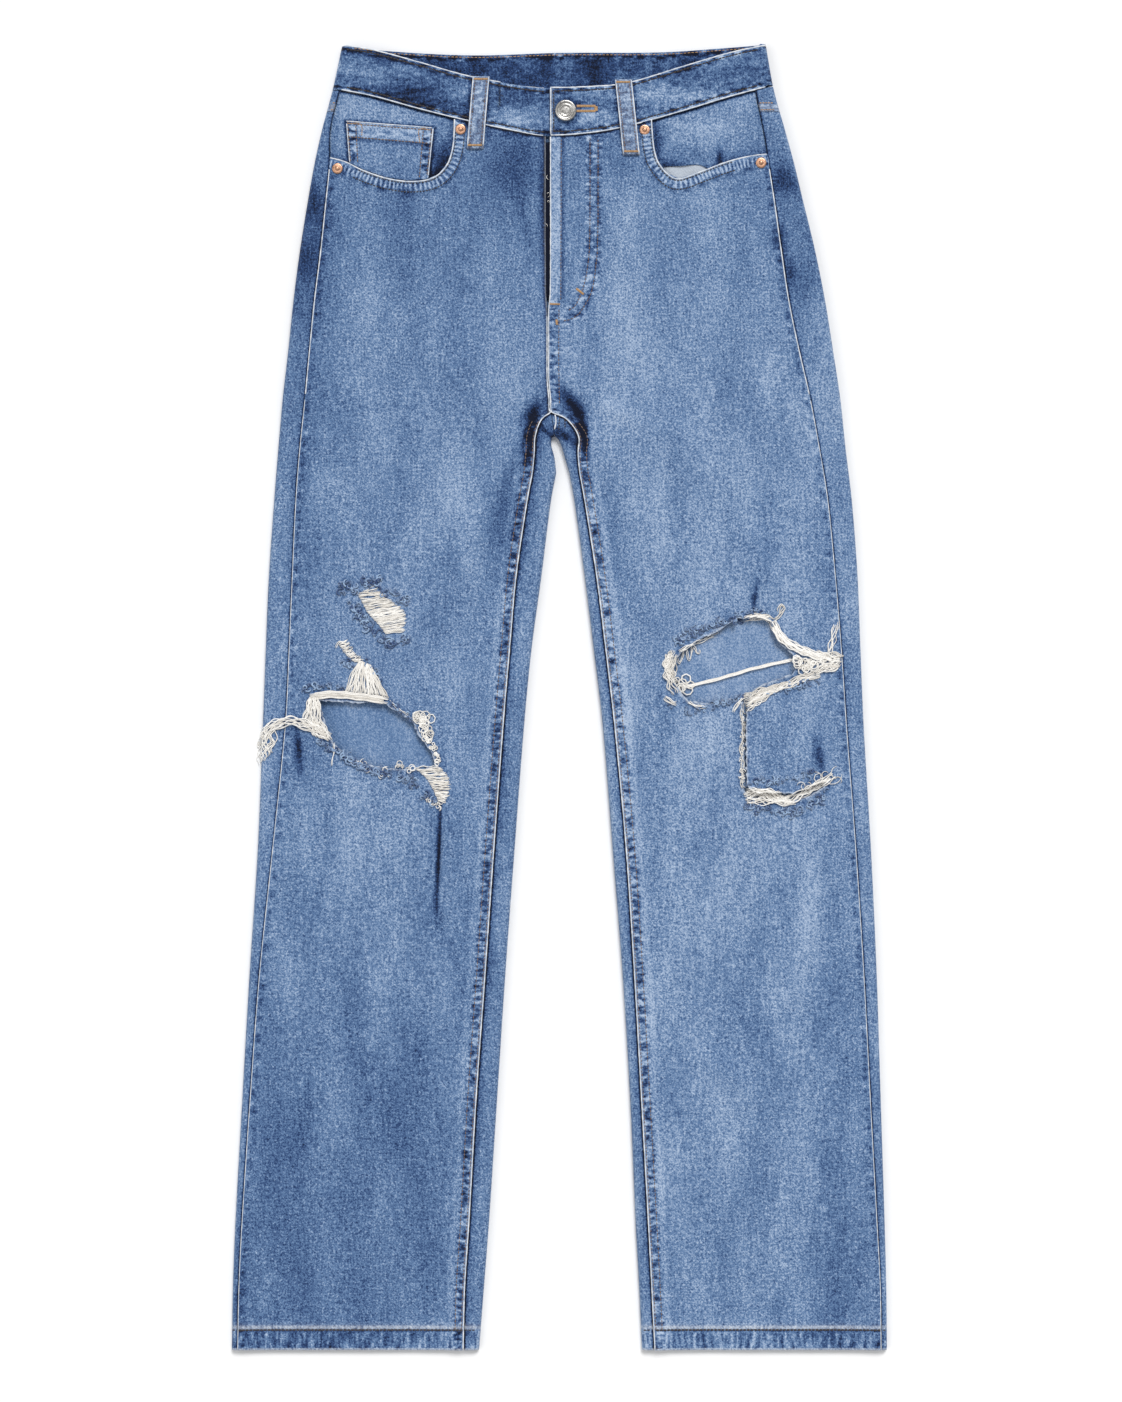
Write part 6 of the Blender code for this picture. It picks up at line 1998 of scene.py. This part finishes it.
right_white = gather("knee_weft_right",
                     (patch, patch_top, trail, trail_line, corner, top_rope, flap, flap_low,
                      fringe_lines, tips, side_loops, loose, edge_knots, knot_loops, edge_chain, edge_line,
                      low_patch, low_loops, low_whites, low_ends),
                     white_yarn, 31, "knee_fringe_right", "knee_fray_right")
# Each row of torn blue ends: its line, its number before thinning, their length, their spread
BLUE_RIGHT = (
    ([(-178.0, 606.0), (-172.0, 611.0), (-164.0, 608.0)], 26, 8.0, 2.4),
    ([(-158.0, 611.0), (-150.0, 615.0), (-141.0, 617.0)], 30, 8.0, 2.2),
    ([(-142.0, 606.0), (-130.0, 604.0), (-122.0, 598.0)], 34, 7.5, 2.4),
    ([(-165.0, 596.0), (-157.0, 584.0), (-147.0, 574.0)], 60, 7.5, 3.2),
    ([(-148.0, 571.0), (-134.0, 566.0), (-121.0, 571.0)], 40, 7.5, 2.2),
    ([(-172.0, 553.0), (-166.0, 546.0)], 16, 6.5, 1.6),
    ([(-153.0, 553.0), (-148.0, 544.0), (-145.0, 536.0)], 18, 6.5, 1.6),
    ([(-204.0, 529.0), (-187.0, 531.0), (-172.0, 529.0)], 40, 6.0, 1.8),
    ([(-134.0, 518.0), (-124.0, 509.0), (-117.0, 504.0)], 20, 5.0, 1.4),
    ([(-192.0, 486.0), (-180.0, 480.0), (-165.0, 471.0)], 60, 6.5, 2.0),
    ([(-165.0, 471.0), (-150.0, 463.6), (-134.0, 460.0), (-116.0, 456.0)], 90, 6.5, 1.8),
    ([(-116.0, 454.0), (-108.0, 444.0), (-100.0, 438.0)], 24, 6.5, 1.8),
)
right_blue = gather("knee_warp_right", torn_warp(ground, BLUE_RIGHT, 41), blue_yarn, 32)

# The wearer's left knee: a white band at the hole's top, a rope right across it, a knotted
# tangle at each end, and below it a tear that ends in a second fringe.
ground = knee_surface["left"]
top_band = rope(ground, [(148.0, 584.6), (156.0, 586.6), (165.0, 586.0), (171.0, 582.6)],
                8, 4.4, 0.48, 61, 0.6)
across = rope(ground, [(98.0, 530.0), (128.4, 537.4), (156.4, 545.6), (192.0, 553.6)],
              6, 1.9, 0.42, 62, 1.6, 0.8, 0.2)
left_loops = curls(ground, [(97.0, 537.0), (102.0, 530.0)], 7, 27.0, 0.6, 60, 1.6, 1.4, LOOP)
left_tangle = curls(ground, [(87.0, 556.0), (88.0, 546.0), (91.0, 534.0)], 50, 12.0, 0.42, 63,
                    2.8, 0.8, LOOP)
left_fan = rope(ground, [(90.0, 560.0), (88.0, 548.0), (90.0, 535.0), (96.0, 523.0)],
                9, 9.0, 0.46, 64, 0.8, 0.8, 1.6)
left_strip = rope(ground, [(92.0, 557.0), (100.0, 561.4), (106.0, 564.4), (113.4, 567.4),
                           (122.0, 571.0), (131.8, 575.0)], 3, 1.8, 0.42, 65, 0.9, 0.0, 0.6)
left_cross = rope(ground, [(93.0, 556.5), (96.6, 549.0), (100.0, 561.5), (104.3, 552.0),
                           (107.0, 564.0), (111.2, 556.0), (113.4, 567.0)], 2, 1.0, 0.42, 66, 0.9)
left_low = rope(ground, [(102.8, 518.6), (110.0, 515.0), (119.0, 514.4)], 3, 1.8, 0.38, 67)
left_foot = rope(ground, [(84.0, 522.4), (90.0, 518.0), (97.0, 516.6)], 4, 3.0, 0.38, 68)
strip_up = rope(ground, [(169.0, 582.0), (175.0, 587.0), (180.0, 594.0), (176.6, 596.0),
                         (174.6, 589.0)], 3, 1.6, 0.38, 69)
strip_down = rope(ground, [(170.6, 583.0), (176.0, 572.0), (184.0, 565.0), (200.0, 557.6),
                           (222.0, 551.0)], 12, 6.0, 0.50, 70, 1.0, 0.8, 0.6)
right_leg = rope(ground, [(215.0, 553.0), (218.8, 570.0), (222.8, 588.0)], 5, 4.0, 0.36, 71,
                 0.8, 0.0, 0.9)
right_mass = bundle(ground, [(206.0, 560.0), (205.0, 540.0)], [(226.0, 556.0), (224.0, 546.0)],
                    28, 0.46, 72, 1.6, 0.8, 0.8)
right_knot = curls(ground, [(191.0, 550.0), (197.0, 546.0), (203.0, 547.0)], 18, 27.0, 0.56, 73,
                   2.4, 1.2, LOOP)
low_strip = rope(ground, [(208.0, 541.0), (194.0, 537.0), (178.0, 531.0), (162.0, 525.0),
                          (149.0, 516.0)], 9, 5.0, 0.48, 74, 0.8, 0.5, 0.9)
low_fan = bundle(ground, [(176.0, 533.0), (170.0, 526.0)], [(146.0, 525.0), (150.0, 510.0)],
                 20, 0.46, 75, 1.2, 0.7)
low_twig = rope(ground, [(152.0, 524.0), (144.0, 519.0), (138.0, 509.0)], 3, 1.6, 0.36, 81)
tear_edge = rope(ground, [(148.0, 520.0), (145.6, 508.0), (147.6, 496.0), (145.4, 482.0),
                          (146.6, 466.0), (145.8, 452.0), (150.0, 444.0)], 2, 1.4, 0.38, 76,
                 0.5, 0.0, 0.8)
tear_ends = curls(ground, [(147.0, 512.0), (146.4, 490.0), (146.0, 468.0), (147.4, 450.0)],
                  60, 4.2, 0.34, 77, 1.0, 0.4)
low_fringe = rope(ground, [(148.0, 442.6), (162.0, 447.0), (174.0, 441.0), (186.0, 441.0),
                           (199.0, 448.0), (212.0, 455.0), (222.0, 463.0)], 10, 5.4, 0.50, 78, 0.8,
                  0.5, 1.2)
low_tuft = bundle(ground, [(149.0, 449.0), (150.0, 437.0)], [(178.0, 447.0), (190.0, 436.0)],
                  18, 0.46, 79, 1.6, 0.7)
low_tails = curls(ground, [(196.0, 452.0), (212.0, 455.0), (222.0, 460.0)], 12, 17.0, 0.32, 80, 2.4)
left_white = gather("knee_weft_left",
                    (top_band, across, left_loops, left_tangle, left_fan, left_strip, left_cross,
                     left_low, left_foot, strip_up, strip_down, right_leg, right_mass, right_knot,
                     low_strip, low_fan, low_twig, tear_edge, tear_ends, low_fringe, low_tuft,
                     low_tails),
                    white_yarn, 33, "knee_fringe_left", "knee_fray_left", "knee_fringe_low_left")
BLUE_LEFT = (
    ([(92.0, 567.0), (104.0, 574.0), (118.0, 578.6), (148.0, 588.0)], 110, 6.5, 2.4),
    ([(152.0, 591.0), (166.0, 591.0)], 14, 5.0, 1.4),
    ([(119.0, 517.0), (132.0, 518.6), (146.0, 523.0)], 54, 6.0, 2.0),
    ([(82.0, 519.0), (100.0, 512.0), (118.0, 512.0)], 18, 5.0, 1.4),
    ([(166.0, 524.0), (184.0, 531.0), (206.0, 535.0)], 44, 6.0, 1.8),
    ([(154.0, 454.0), (176.0, 455.0), (204.0, 462.0)], 56, 6.0, 2.4),
    ([(148.0, 436.0), (168.0, 432.0), (192.0, 431.0), (214.0, 446.0)], 100, 7.0, 2.4),
)
left_blue = gather("knee_warp_left", torn_warp(ground, BLUE_LEFT, 91), blue_yarn, 34)

fly_threads = curls(surface_of(underlap), [(-9.4, 944.0), (-9.8, 920.0), (-9.4, 890.0)], 5, 4.0, 0.22,
                    99, 0.4, 0.2)
gather("fly_pulled_threads", (fly_threads,), white_yarn, 35)
